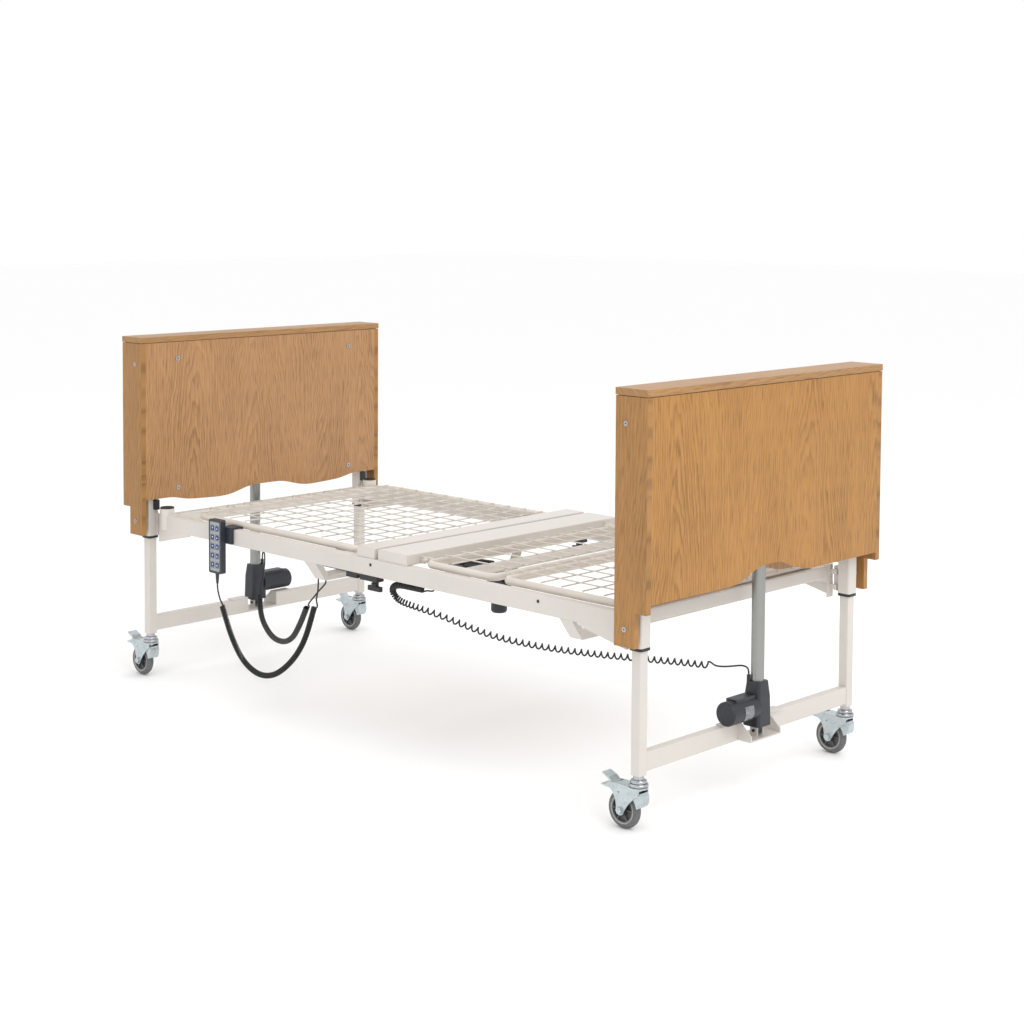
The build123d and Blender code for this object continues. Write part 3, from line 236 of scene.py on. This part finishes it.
def oak(name, across, along, light, dark, hearts):
    """Oak veneer: growth rings cut lengthwise, which arch over each heart and run straight beside it."""
    material, tree, shader = new_look(name, OAK_GLOSS)
    split = add(tree, "SeparateXYZ")
    tree.links.new(place_coords(tree), split.inputs[0])
    wide = split.outputs[across[0]]
    if len(across) > 1:
        wide = maths(tree, "ADD", wide, split.outputs[across[1]])
    long = split.outputs[along]
    flat = add(tree, "CombineXYZ")
    tree.links.new(wide, flat.inputs["X"])
    tree.links.new(long, flat.inputs["Y"])
    flat = flat.outputs[0]

    wander = noise(tree, scaled(tree, flat, (5.0, 1.3, 1)), 1.0, 2)
    wobble = maths(tree, "MULTIPLY_ADD", wander, 0.16, maths(tree, "ADD", wide, -0.08))
    nearest = None
    for heart in hearts:
        offset = maths(tree, "SUBTRACT", wobble, heart)
        square = maths(tree, "MULTIPLY_ADD", offset, offset, HEART_WIDTH ** 2)
        distance = maths(tree, "SQRT", square)
        nearest = distance if nearest is None else maths(tree, "MINIMUM", nearest, distance)
    ring = maths(tree, "MULTIPLY", nearest, RINGS_ACROSS)
    ring = maths(tree, "MULTIPLY_ADD", long, RINGS_ALONG, ring)
    ripple = noise(tree, scaled(tree, flat, (60.0, 9.0, 1)), 1.0, 3)
    ring = maths(tree, "MULTIPLY_ADD", ripple, 1.5, ring)
    phase = maths(tree, "FRACT", ring)
    band = ramp(tree, phase, [(0.0, 0.15), (0.45, 0.35), (0.82, 1.0), (1.0, 0.1)])

    patch = noise(tree, scaled(tree, flat, (7.0, 2.2, 1)), 1.0, 3)
    strength = ramp(tree, patch, [(0.35, 0.30), (0.68, 0.95)])
    pores = noise(tree, scaled(tree, flat, (420.0, 16.0, 1)), 1.0, 3)
    pore_mask = ramp(tree, pores, [(0.50, 0.0), (0.64, 1.0)])
    streaks = noise(tree, scaled(tree, flat, (190.0, 3.0, 1)), 1.0, 5, 0.6)

    ring_share = mixed(tree, 1.0, band, strength, "MULTIPLY")
    tone = mixed(tree, maths(tree, "MULTIPLY", ring_share, 0.80), light, dark)
    streak_share = ramp(tree, streaks, [(0.32, 0.78), (0.68, 1.0)])
    tone = mixed(tree, 1.0, tone, streak_share, "MULTIPLY")
    pore_share = maths(tree, "MULTIPLY", pore_mask, maths(tree, "MULTIPLY_ADD", ring_share, 0.45, 0.34))
    tone = mixed(tree, pore_share, tone, tuple(channel * 0.55 for channel in dark))
    tree.links.new(tone, shader.inputs["Base Color"])
    shine = ramp(tree, streaks, [(0.3, OAK_GLOSS - 0.05), (0.7, OAK_GLOSS + 0.08)])
    tree.links.new(shine, shader.inputs["Roughness"])
    bump(tree, shader, pore_mask, 0.12, 0.0003)
    return material


def wheel_look(node):
    """Wheel: dark hub, thin pale ring and grey tyre, told apart by the distance from the axle."""
    material, tree, shader = new_look(node.replace("caster_", "") + "_rubber", 0.55)
    coords = place_coords(tree)
    low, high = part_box(node)
    middle = (Vector(low) + Vector(high)) / 2
    from_axle = add(tree, "VectorMath", operation="SUBTRACT")
    tree.links.new(coords, from_axle.inputs[0])
    from_axle.inputs[1].default_value = middle
    length = add(tree, "VectorMath", operation="LENGTH")
    tree.links.new(scaled(tree, from_axle.outputs[0], (1, 0, 1)), length.inputs[0])
    share = maths(tree, "MULTIPLY", length.outputs["Value"], 1 / WHEEL_RADIUS)
    zones = ramp(tree, share, [(0.30, 0.045), (0.36, 0.085), (0.66, 0.10), (0.69, 0.34), (0.73, 0.34),
                               (0.76, 0.125)])
    grime = noise(tree, coords, 120, 4)
    wear = ramp(tree, grime, [(0.3, 0.82), (0.7, 1.12)])
    tree.links.new(mixed(tree, 1.0, zones, wear, "MULTIPLY"), shader.inputs["Base Color"])
    bump(tree, shader, noise(tree, coords, 1200, 2), 0.25, 0.0003)
    return material


def two_tone(name, low, high, inside, outside, roughness):
    """Moulded part that has another colour between two places across the bed."""
    material, tree, shader = new_look(name, roughness)
    coords = place_coords(tree)
    split = add(tree, "SeparateXYZ")
    tree.links.new(coords, split.inputs[0])
    place = split.outputs["Y"]
    above = maths(tree, "GREATER_THAN", place, low)
    mask = maths(tree, "MULTIPLY", above, maths(tree, "LESS_THAN", place, high))
    fine = noise(tree, coords, 1500, 2)
    slow = noise(tree, coords, 60, 3)
    tone = mixed(tree, mask, outside, inside)
    shade = ramp(tree, slow, [(0.3, 0.92), (0.7, 1.06)])
    tree.links.new(mixed(tree, 1.0, tone, shade, "MULTIPLY"), shader.inputs["Base Color"])
    bump(tree, shader, fine, 0.15, 0.0003)
    return material


def make_looks():
    """Every material, by name."""
    # colour, how much it varies, roughness, metallic, scale and relief of the grain, scale of the patches
    coats = {
        "paint": ("cream_powder_coat", (0.62, 0.585, 0.54), 0.05, 0.38, 0.0, 1400, 0.12, 5),
        "wire_paint": ("cream_wire_coat", (0.64, 0.59, 0.53), 0.06, 0.40, 0.0, 1400, 0.10, 12),
        # chrome and zinc: base colours darker than the bare metal, as painted shade for darker reflections
        # than the white surroundings give; the wide slow colour change is partly uneven plating and partly
        # painted dark and light reflections
        "chrome": ("chrome_plate", (0.42, 0.43, 0.45), 0.30, 0.14, 1.0, 300, 0.02, 9),
        "zinc": ("zinc_plate", (0.50, 0.56, 0.58), 0.16, 0.30, 1.0, 500, 0.10, 60),
        # lift tube and rods: base colour darker than the bare metal, as painted shade for darker reflections
        # than the white surroundings give
        "tube": ("tube_metal_painted_dark", (0.32, 0.325, 0.31), 0.08, 0.34, 1.0, 900, 0.05, 14),
        "motor": ("motor_plastic", (0.018, 0.020, 0.028), 0.20, 0.42, 0.0, 1600, 0.25, 30),
        "black": ("black_plastic", (0.014, 0.014, 0.015), 0.25, 0.45, 0.0, 1500, 0.2, 40),
        "cord": ("cord_jacket", (0.010, 0.010, 0.011), 0.25, 0.36, 0.0, 900, 0.08, 50),
        "pale": ("pale_print", (0.66, 0.72, 0.78), 0.05, 0.45, 0.0, 1800, 0.02, 60),
        "plate": ("silver_plate", (0.50, 0.52, 0.54), 0.08, 0.30, 0.7, 900, 0.05, 80),
    }
    looks = {look: speckled(*coat) for look, coat in coats.items()}
    face, dark_case, blue = (0.33, 0.345, 0.35), (0.022, 0.028, 0.040), (0.022, 0.035, 0.15)
    looks["handset"] = two_tone("handset_case", -0.48515, -0.48485, face, dark_case, 0.42)
    looks["rocker"] = two_tone("handset_rocker", -0.4850, -0.4843, face, blue, 0.38)
    # light and dark tones, and where the hearts are across the board: a far heart gives straight grain
    looks["oak_foot"] = oak("oak_foot_panel", "Y", "Z", (0.50, 0.24, 0.053), (0.235, 0.093, 0.016),
                            (0.16, -0.40, 0.49))
    looks["oak_head"] = oak("oak_head_panel", "Y", "Z", (0.53, 0.285, 0.12), (0.265, 0.125, 0.043),
                            (-0.06, -0.30, 0.44))
    looks["oak_cheek"] = oak("oak_cheek", "X", "Z", (0.435, 0.215, 0.058), (0.235, 0.107, 0.025), (3.0,))
    looks["oak_cap"] = oak("oak_cap", "XZ", "Y", (0.45, 0.24, 0.088), (0.28, 0.135, 0.045), (3.0,))
    return looks


CAD_EDGE, PIECE_EDGE = 35, 40   # degrees from which an edge stays sharp


def dress(node, look):
    """Give a CAD node one material."""
    slots = nodes[node].data.materials
    slots.clear()
    slots.append(looks[look])


def smooth_cad():
    """Smooth shading on the CAD nodes' round faces, with their edges kept."""
    for node in nodes.values():
        for face in node.data.polygons:
            face.use_smooth = True
        node.data.set_sharp_from_angle(angle=math.radians(CAD_EDGE))


# ---------------------------------------------------------------- cords
CORD_WIDTH = 5.0 * MM
REST_COIL, OPEN_COIL = 9.5 * MM, 10.5 * MM     # outer radii
COIL_PITCH = 5.7 * MM
CLOSED_PITCH, OPEN_PITCH = 7 * MM, 21 * MM
POINTS_IN_TURN = 12
LINE_STEP = 0.5 * MM
COIL_END_SIDE = 0.7        # how far a coil's end bends out, as a share of its radius
COIL_END_RUN = 8 * MM


def spline_object(name, points, width=0.0):
    """Curve object of one open NURBS spline."""
    curve = bpy.data.curves.new(name, "CURVE")
    curve.dimensions = "3D"
    curve.resolution_u = 3
    spline = curve.splines.new("NURBS")
    spline.points.add(len(points) - 1)
    for place, point in zip(spline.points, points):
        place.co = (*point, 1)
    spline.order_u = 3
    spline.use_endpoint_u = True
    curve.bevel_depth = width / 2
    curve.bevel_resolution = 3
    thing = bpy.data.objects.new(name, curve)
    bpy.context.scene.collection.objects.link(thing)
    return thing


def route_line(points):
    """Points along the route's own NURBS spline."""
    guide = spline_object("guide", points)
    guide.data.resolution_u = 24
    bpy.context.view_layer.update()
    mesh = bpy.data.meshes.new_from_object(guide)
    line = [vertex.co.copy() for vertex in mesh.vertices]
    bpy.data.objects.remove(guide)
    bpy.data.meshes.remove(mesh)
    return line


def spaced(line, step):
    """Points a step apart along a line."""
    found = [line[0].copy()]
    left = step
    for start, stop in zip(line, line[1:]):
        length = (stop - start).length
        while length > 1e-9 and left <= length:
            found.append(start.lerp(stop, left / length))
            left += step
        left -= length
    return found


def bed(points):
    """Points given from the middle of the boards in millimetres, in metres in the model's frame."""
    return [Vector((CENTRE_X + x * MM, y * MM, z * MM)) for x, y, z in points]


def helix(route, radius, pitch):
    """Turns of a curly cord along a route: pitch gives a turn's advance for a share of the way."""
    line = spaced(route_line(route), LINE_STEP)
    side = Vector((0, 0, 1)).cross(line[1] - line[0]).normalized()
    turns = []
    angle = 0.0
    step = 2 * math.pi / POINTS_IN_TURN
    place = 0.0
    last = len(line) - 2
    while place < last:
        index = int(place)
        ahead = (line[index + 1] - line[index]).normalized()
        side = (side - ahead * side.dot(ahead)).normalized()
        out = side * math.cos(angle) + ahead.cross(side) * math.sin(angle)
        bend = ahead.cross(out) * radius * COIL_END_SIDE
        point = line[index].lerp(line[index + 1], place - index) + out * radius
        if not turns:
            turns = [point - bend - ahead * COIL_END_RUN, point - bend]
        turns.append(point)
        angle += step
        place += pitch(place / last) / POINTS_IN_TURN / LINE_STEP
    return [*turns, point + bend, point + bend + ahead * COIL_END_RUN]


def led(first, second, run):
    """Point that leads straight into a route's first run."""
    return first - (second - first).normalized() * run


# the same routes as the model's: X from the middle of the boards, in millimetres
HANDSET_X = -667
RELIEF_TIP = 375
GLAND_TOP = 326
DROP_BOTTOM = 437
RAIL_BOTTOM = 500
HANDSET_COIL = bed([(-646, -473, 306), (-628, -471.5, 266), (-608, -470, 225), (-586, -465, 183),
                    (-560, -458, 146), (-526, -450, 120), (-484, -443, 108), (-438, -435, 116),
                    (-399, -425, 141), (-366, -411, 178), (-343, -399, 219), (-327, -391, 262),
                    (-313, -388, 305), (-298, -387, 346)])
HANDSET_TAIL = bed([(HANDSET_X, -475.5, RELIEF_TIP), (HANDSET_X, -475.5, 362), (-664, -475, 348),
                    (-658, -474, 330)])
HANDSET_END = bed([(-283, -386.5, 392), (-279, -387, 415), (-279, -387, DROP_BOTTOM)])
HEAD_COIL = bed([(-1034, -20, 212), (-1022, -29, 182), (-996, -46, 156), (-950, -71, 137), (-886, -104, 126),
                 (-806, -145, 123), (-722, -182, 130), (-640, -218, 150), (-563, -255, 184),
                 (-496, -292, 226), (-424, -330, 280), (-366, -362, 328)])
HEAD_TAIL = bed([(-1072, 20, GLAND_TOP), (-1072, 20, 338), (-1067, 18, 350), (-1056, 14, 355),
                 (-1046, 10, 348), (-1041, 7, 332), (-1040, 4, 304), (-1040, -2, 274), (-1039, -9, 246)])
HEAD_END = bed([(-322, -368, 370), (-294, -372, 394), (-268, -374, 414), (-258, -374, 425),
                (-258, -374, DROP_BOTTOM)])
FOOT_COIL = bed([(232, -431, 488), (186, -431, 487.5), (138, -430, 487), (104, -427, 478), (92, -419, 454),
                 (110, -408, 432), (150, -391, 421), (208, -366, 407), (283, -335, 385), (341, -313, 368),
                 (399, -290, 355), (485, -257, 345), (570, -225, 340), (682, -182, 338.5), (791, -140, 340),
                 (897, -97, 342), (972, -66, 341)])
FOOT_TAIL = bed([(282, -432, RAIL_BOTTOM), (282, -432, 488.5)])
FOOT_END = bed([(1012, -46, 341), (1034, -35, 345), (1053, -26, 349), (1067, -21, 346), (1072, -20, 337),
                (1072, -20, GLAND_TOP)])


def tight(share):
    """Advance of a turn of a coil at rest."""
    return COIL_PITCH


def stretched(share):
    """Advance of a turn of the foot lift's coil: closed at its start, then pulled open."""
    closed, opened = 0.16, 0.26
    if share < closed:
        return CLOSED_PITCH
    blend = min(1.0, (share - closed) / (opened - closed))
    return CLOSED_PITCH + (OPEN_PITCH - CLOSED_PITCH) * blend * (1 - 0.15 * share)


def curly_cord(name, tail, coil, end, coil_radius, pitch, leads):
    """Curve of one cord: tail, curly middle and end; the leads are the straight runs beside the coil."""
    turns = helix(coil, coil_radius - CORD_WIDTH / 2, pitch)
    lead_in = led(coil[0], coil[1], leads[0] * MM)
    lead_out = led(coil[-1], coil[-2], leads[1] * MM)
    return spline_object(name, [*tail, lead_in, *turns, lead_out, *end], CORD_WIDTH)


def centre_points(thing):
    """Points of a curve's own line."""
    width = thing.data.bevel_depth
    thing.data.bevel_depth = 0
    bpy.context.view_layer.update()
    mesh = bpy.data.meshes.new_from_object(thing)
    line = [vertex.co.copy() for vertex in mesh.vertices]
    bpy.data.meshes.remove(mesh)
    thing.data.bevel_depth = width
    return line


def cord_mesh(name, curve):
    """Mesh of a cord, and the cord's own line."""
    line = centre_points(curve)
    bpy.context.view_layer.update()
    tube = bpy.data.objects.new(name, bpy.data.meshes.new_from_object(curve))
    bpy.context.scene.collection.objects.link(tube)
    bpy.data.objects.remove(curve)
    tube.data.materials.clear()
    tube.data.materials.append(looks["cord"])
    for face in tube.data.polygons:
        face.use_smooth = True
    return tube, line


def declare_cord(tube):
    """Hide the CAD coil and tails that a cord stands for."""
    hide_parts(tube.name + "_coil", tube.name + "_tails")


def make_cords():
    """The hand control's cord and the two lifts' cords, which run between the bed and each lift's base."""
    curve = curly_cord("handset_curve", HANDSET_TAIL, HANDSET_COIL, HANDSET_END, REST_COIL, tight, (16, 22))
    tube, line = cord_mesh("handset_cord", curve)
    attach(tube, "platform")
    declare_cord(tube)

    curve = curly_cord("head_curve", HEAD_TAIL, HEAD_COIL, HEAD_END, REST_COIL, tight, (16, 24))
    tube, line = cord_mesh("head_lift_cord", curve)
    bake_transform(tube)
    declare_cord(tube)

    curve = curly_cord("foot_curve", FOOT_TAIL, FOOT_COIL, FOOT_END, OPEN_COIL, stretched, (18, 18))
    tube, line = cord_mesh("foot_lift_cord", curve)
    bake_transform(tube)
    declare_cord(tube)


# ---------------------------------------------------------------- shaping
def new_piece(name, shape, look, body):
    """Piece from a bmesh, dressed and riding on a body."""
    bmesh.ops.recalc_face_normals(shape, faces=shape.faces)
    mesh = bpy.data.meshes.new(name)
    shape.to_mesh(mesh)
    shape.free()
    mesh.materials.append(looks[look])
    for face in mesh.polygons:
        face.use_smooth = True
    mesh.set_sharp_from_angle(angle=math.radians(PIECE_EDGE))
    piece = bpy.data.objects.new(name, mesh)
    bpy.context.scene.collection.objects.link(piece)
    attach(piece, body)
    return piece


def sweep(shape, points, radius, sides, closed=False):
    """Round bar along a line of points."""
    count = len(points)
    rings = []
    side = None
    for index, point in enumerate(points):
        before = points[index - 1] if closed or index else point
        after = points[(index + 1) % count] if closed or index < count - 1 else point
        ahead = (after - before).normalized()
        if side is None:
            side = ahead.orthogonal().normalized()
        side = (side - ahead * side.dot(ahead)).normalized()
        other = ahead.cross(side)
        ring = []
        for step in range(sides):
            angle = 2 * math.pi * step / sides
            out = side * math.cos(angle) + other * math.sin(angle)
            ring.append(shape.verts.new(point + out * radius))
        rings.append(ring)
    pairs = list(zip(rings, rings[1:]))
    if closed:
        pairs.append((rings[-1], rings[0]))
    for first, second in pairs:
        for step in range(sides):
            following = (step + 1) % sides
            shape.faces.new((first[step], first[following], second[following], second[step]))
    if not closed:
        shape.faces.new(rings[0][::-1])
        shape.faces.new(rings[-1])


def rounded(corners, radius, steps, closed=False):
    """Points of a path with its corners rounded."""
    count = len(corners)
    found = []
    for index, corner in enumerate(corners):
        if not closed and index in (0, count - 1):
            found.append(corner.copy())
            continue
        back = (corners[index - 1] - corner).normalized()
        forward = (corners[(index + 1) % count] - corner).normalized()
        size = radius[index] if isinstance(radius, (list, tuple)) else radius
        turn = back.angle(forward) / 2
        trim = size / math.tan(turn)
        centre = corner + (back + forward).normalized() * (size / math.sin(turn))
        start = corner + back * trim - centre
        stop = corner + forward * trim - centre
        for step in range(steps + 1):
            found.append(centre + start.normalized().slerp(stop.normalized(), step / steps) * size)
    return found


def plate(shape, outline, low, high, bevel=0.6 * MM):
    """Flat plate in the XZ plane between two Y values, with softened edges."""
    bottom = [shape.verts.new((x, low, z)) for x, z in outline]
    top = [shape.verts.new((x, high, z)) for x, z in outline]
    faces = [shape.faces.new(bottom), shape.faces.new(top[::-1])]
    for first in range(len(outline)):
        second = (first + 1) % len(outline)
        faces.append(shape.faces.new((bottom[first], top[first], top[second], bottom[second])))
    edges = list({edge for face in faces for edge in face.edges})
    bmesh.ops.bevel(shape, geom=edges, offset=bevel, segments=2, affect="EDGES", profile=0.6)


# ---------------------------------------------------------------- mesh sections
WIRE_RADIUS = 2.1 * MM
WIRE_HIGH_Z = 574.4 * MM   # centre of the wires along the bed
WIRE_LOW_Z = 570.2 * MM    # centre of the wires across it
WIRE_PITCH_Y = 68.95 * MM
WIRE_PITCH_X = 75.0 * MM
WIRE_SPAN = 405.0 * MM
WIRES_A_SIDE = 5
HOOK_BEND, HOOK_DROP = 6.0 * MM, 16 * MM
TUBE_Z = 557.5 * MM
HINGE_Z = 562.5 * MM
TUBE_RADIUS = 11.0 * MM
TUBE_SIDE = 410.0 * MM
ROUND_CORNER, SMALL_CORNER = 60 * MM, 24 * MM
HINGE_PIN, PIN_LENGTH = 6.0 * MM, 19 * MM


def bed_x(x):
    """X in the model's frame, from millimetres measured from the middle of the boards."""
    return CENTRE_X + x * MM


def hooked_wire(shape, start, stop, drop_start, drop_stop):
    """Straight wire whose ends may turn down over the frame tube."""
    up = Vector((0, 0, 1))
    corners = [start, stop]
    if drop_start:
        corners.insert(0, start - up * drop_start)
    if drop_stop:
        corners.append(stop - up * drop_stop)
    sweep(shape, rounded(corners, HOOK_BEND, 5), WIRE_RADIUS, 8)


def mesh_section(ends, corners, wire_ends, crosses, hook_end):
    """Shape of one mattress section: bent tube, and a wire mesh with hooks over one end."""
    shape = bmesh.new()
    head, foot = bed_x(ends[0]), bed_x(ends[1])
    loop = [Vector((head, TUBE_SIDE, TUBE_Z)), Vector((head, -TUBE_SIDE, TUBE_Z)),
            Vector((foot, -TUBE_SIDE, TUBE_Z)), Vector((foot, TUBE_SIDE, TUBE_Z))]
    sweep(shape, rounded(loop, corners, 10, closed=True), TUBE_RADIUS, 20, closed=True)
    first, last = bed_x(wire_ends[0]), bed_x(wire_ends[1])
    for line in range(-WIRES_A_SIDE, WIRES_A_SIDE + 1):
        y = line * WIRE_PITCH_Y
        hooked_wire(shape, Vector((first, y, WIRE_HIGH_Z)), Vector((last, y, WIRE_HIGH_Z)),
                    HOOK_DROP if hook_end < 0 else 0, HOOK_DROP if hook_end > 0 else 0)
    start, count = crosses
    for line in range(count):
        x = bed_x(start) + line * WIRE_PITCH_X
        hooked_wire(shape, Vector((x, -WIRE_SPAN, WIRE_LOW_Z)), Vector((x, WIRE_SPAN, WIRE_LOW_Z)), 0, 0)
    return shape


def hinge_arms(shape, tube_x, hinge_x, arm_side):
    """Arms from a section's end tube to its hinge pins."""
    way = 1 if hinge_x > tube_x else -1
    reach = way * 9 * MM
    outline = [(bed_x(tube_x), HINGE_Z + 8 * MM), (bed_x(hinge_x) + reach * 0.6, HINGE_Z + 8 * MM),
               (bed_x(hinge_x) + reach, HINGE_Z), (bed_x(hinge_x) + reach * 0.6, HINGE_Z - 8 * MM),
               (bed_x(tube_x), HINGE_Z - 8 * MM)]
    for side in (NEAR, FAR):
        middle = side * arm_side * MM
        plate(shape, outline, middle - 3 * MM, middle + 3 * MM)


def stub_pins(shape, hinge_x, arm_side):
    """Hinge pins on the arms."""
    for side in (NEAR, FAR):
        start = Vector((bed_x(hinge_x), side * arm_side * MM, HINGE_Z))
        sweep(shape, [start, start + Vector((0, side * PIN_LENGTH, 0))], HINGE_PIN, 20)


def lever(shape, middle, tube_x, lug, eye, way):
    """Pair of lever plates that an actuator pushes."""
    x, z = bed_x(lug[0]), lug[1] * MM
    eye = eye * MM
    tube = bed_x(tube_x)
    outline = [(tube, HINGE_Z + 6 * MM), (tube + way * 12 * MM, HINGE_Z + 2 * MM),
               (x + way * eye, z + 6 * MM), (x + way * eye * 0.7, z - eye * 0.6), (x, z - eye + 4 * MM),
               (x - way * eye * 0.8, z - eye * 0.5),
               (x - way * eye, z), (tube - way * 12 * MM, HINGE_Z - 14 * MM)]
    for low in (-4.0, 1.5):
        plate(shape, outline, (middle + low) * MM, (middle + low + 2.5) * MM)


def make_sections():
    """The three mesh sections, which stand for their CAD nodes."""
    shape = mesh_section((-868, -66), [ROUND_CORNER] * 2 + [SMALL_CORNER] * 2, (-880.5, -58), (-843, 11), -1)
    hinge_arms(shape, -66, -40, 386)
    stub_pins(shape, -40, 386)
    lever(shape, -130, -66, (-20, 485), 20, 1)
    backrest = new_piece("backrest_mesh", shape, "wire_paint", "backrest")
    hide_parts("backrest_section")

    shape = mesh_section((231, 492), [SMALL_CORNER] * 4, (225.5, 500), (249, 4), -1)
    hinge_arms(shape, 231, 205, 386)
    stub_pins(shape, 205, 386)
    hinge_arms(shape, 492, 515, 360)
    stub_pins(shape, 515, 360)
    lever(shape, -40, 231, (205, 490), 15, -1)
    thigh = new_piece("thigh_mesh", shape, "wire_paint", "thigh")
    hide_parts("thigh_section")

    shape = mesh_section((538, 985), [SMALL_CORNER] * 2 + [ROUND_CORNER] * 2, (530, 997.5), (593, 6), 1)
    hinge_arms(shape, 538, 515, 370)
    calf = new_piece("calf_mesh", shape, "wire_paint", "calf")
    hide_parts("calf_section")


# ---------------------------------------------------------------- small details
MOTOR_X = 1.086
MOTOR_Z = 0.243
MOTOR_RADIUS = 32.5 * MM


def motor_plate(end, name):
    """Blank silver plate wrapped round a lift motor."""
    shape = bmesh.new()
    columns, rows = 14, 6
    grid = []
    for row in range(rows + 1):
        along = 0.054 + 0.038 * row / rows
        line = []
        for column in range(columns + 1):
            angle = math.radians(-46 + 74 * column / columns)
            out = MOTOR_RADIUS + 0.5 * MM
            line.append(shape.verts.new((CENTRE_X + end * (MOTOR_X + out * math.cos(angle)), -end * along,
                                         MOTOR_Z + out * math.sin(angle))))
        grid.append(line)
    for low, high in zip(grid, grid[1:]):
        for column in range(columns):
            shape.faces.new((low[column], low[column + 1], high[column + 1], high[column]))
    bmesh.ops.solidify(shape, geom=list(shape.faces), thickness=0.4 * MM)
    plate_piece = new_piece(name, shape, "plate", "head_base" if end < 0 else "foot_base")


def key_marks():
    """Plain arrow heads on the hand control's ten press points."""
    half_wide, half_tall = 3.4 * MM, 3.0 * MM
    front = -0.48595
    for row in range(5):
        shape = bmesh.new()
        z = (551 - 29 * row) * MM
        for way in (-1, 1):
            x = bed_x(HANDSET_X + way * 11.5)
            tip = (x, front, z + way * half_tall)
            left = (x - half_wide, front, z - way * half_tall)
            right = (x + half_wide, front, z - way * half_tall)
            corners = [shape.verts.new(point) for point in (tip, left, right)]
            back = [shape.verts.new((point[0], front + 0.3 * MM, point[2])) for point in (tip, left, right)]
            shape.faces.new(corners)
            shape.faces.new(back[::-1])
            for first in range(3):
                second = (first + 1) % 3
                shape.faces.new((corners[first], back[first], back[second], corners[second]))
        mark = new_piece(f"key_marks_{row + 1}", shape, "pale", f"rocker_{row + 1}")


def rail_bolts():
    """Black bolt heads on the outer faces of the side rails."""
    for number, x in enumerate((37, 705)):
        for side, side_name in ((NEAR, "near"), (FAR, "far")):
            shape = bmesh.new()
            z = 533 * MM
            face = side * 455 * MM
            rings = []
            for radius, height in ((4.5, 0), (4.5, 1.2), (3.6, 2.0)):
                ring = []
                for step in range(20):
                    angle = 2 * math.pi * step / 20
                    ring.append(shape.verts.new((bed_x(x) + radius * MM * math.cos(angle),
                                                 face + side * height * MM,
                                                 z + radius * MM * math.sin(angle))))
                rings.append(ring)
            for low, high in zip(rings, rings[1:]):
                for step in range(20):
                    following = (step + 1) % 20
                    shape.faces.new((low[step], low[following], high[following], high[step]))
            shape.faces.new(rings[0][::-1])
            shape.faces.new(rings[-1])
            bolt = new_piece(f"rail_bolt_{side_name}_{number + 1}", shape, "black", "platform")


def bar_ends():
    """Plates that close the ends of the two seat bars."""
    low, high = 550.4 * MM, 581.1 * MM
    shape = bmesh.new()
    for start, stop in ((-26.6, 48.6), (65.4, 187.6)):
        outline = [(bed_x(start), low), (bed_x(stop), low), (bed_x(stop), high), (bed_x(start), high)]
        for side in (NEAR, FAR):
            inner, outer = side * 449 * MM, side * 450.8 * MM
            plate(shape, outline, min(inner, outer), max(inner, outer), 0.4 * MM)
    ends = new_piece("bar_ends", shape, "paint", "platform")


# ---------------------------------------------------------------- the CAD nodes' materials
def dress_nodes():
    """Material of each CAD node that shows as it is."""
    for end in ("head", "foot"):
        for node in ("leg_frame", "sleeve_frame", "frame_half"):
            dress(f"{end}_{node}", "paint")
        dress(f"{end}_caster_cups", "chrome")
        dress(f"{end}_lift_motor", "motor")
        dress(f"{end}_lift_tube", "tube")
        dress(f"{end}_cheeks", "oak_cheek")
        dress(f"{end}_outer_panel", "oak_foot")
        dress(f"{end}_inner_panel", "oak_head")
        for side in ("near", "far"):
            dress(f"caster_fork_{end}_{side}", "zinc")
            wheel = f"caster_wheel_{end}_{side}"
            looks[wheel] = wheel_look(wheel)
            dress(wheel, wheel)
            dress(f"caster_pedal_{end}_{side}", "zinc")
    for section in ("backrest", "thigh", "calf"):
        dress(f"{section}_section", "wire_paint")
    for side in ("near", "far"):
        dress(f"{side}_clamp_knob", "black")
    for name in ("backrest_actuator", "knee_actuator", "control_box"):
        dress(name, "motor")
    for name in ("backrest_push_rod", "knee_push_rod", "lift_rods"):
        dress(name, "tube")
    for name in ("joint_blocks", "socket_plugs", "corner_catches", "sleeve_bushes"):
        dress(name, "black")
    dress("board_caps", "oak_cap")
    dress("board_screws", "chrome")
    dress("handset", "handset")
    for row in range(1, 6):
        dress(f"handset_rocker_{row}", "rocker")


make_camera()
looks = make_looks()
make_studio()
smooth_cad()
dress_nodes()
make_cords()
make_sections()
for end, end_name in ((-1, "head"), (1, "foot")):
    motor_plate(end, f"{end_name}_motor_plate")
key_marks()
rail_bolts()
bar_ends()
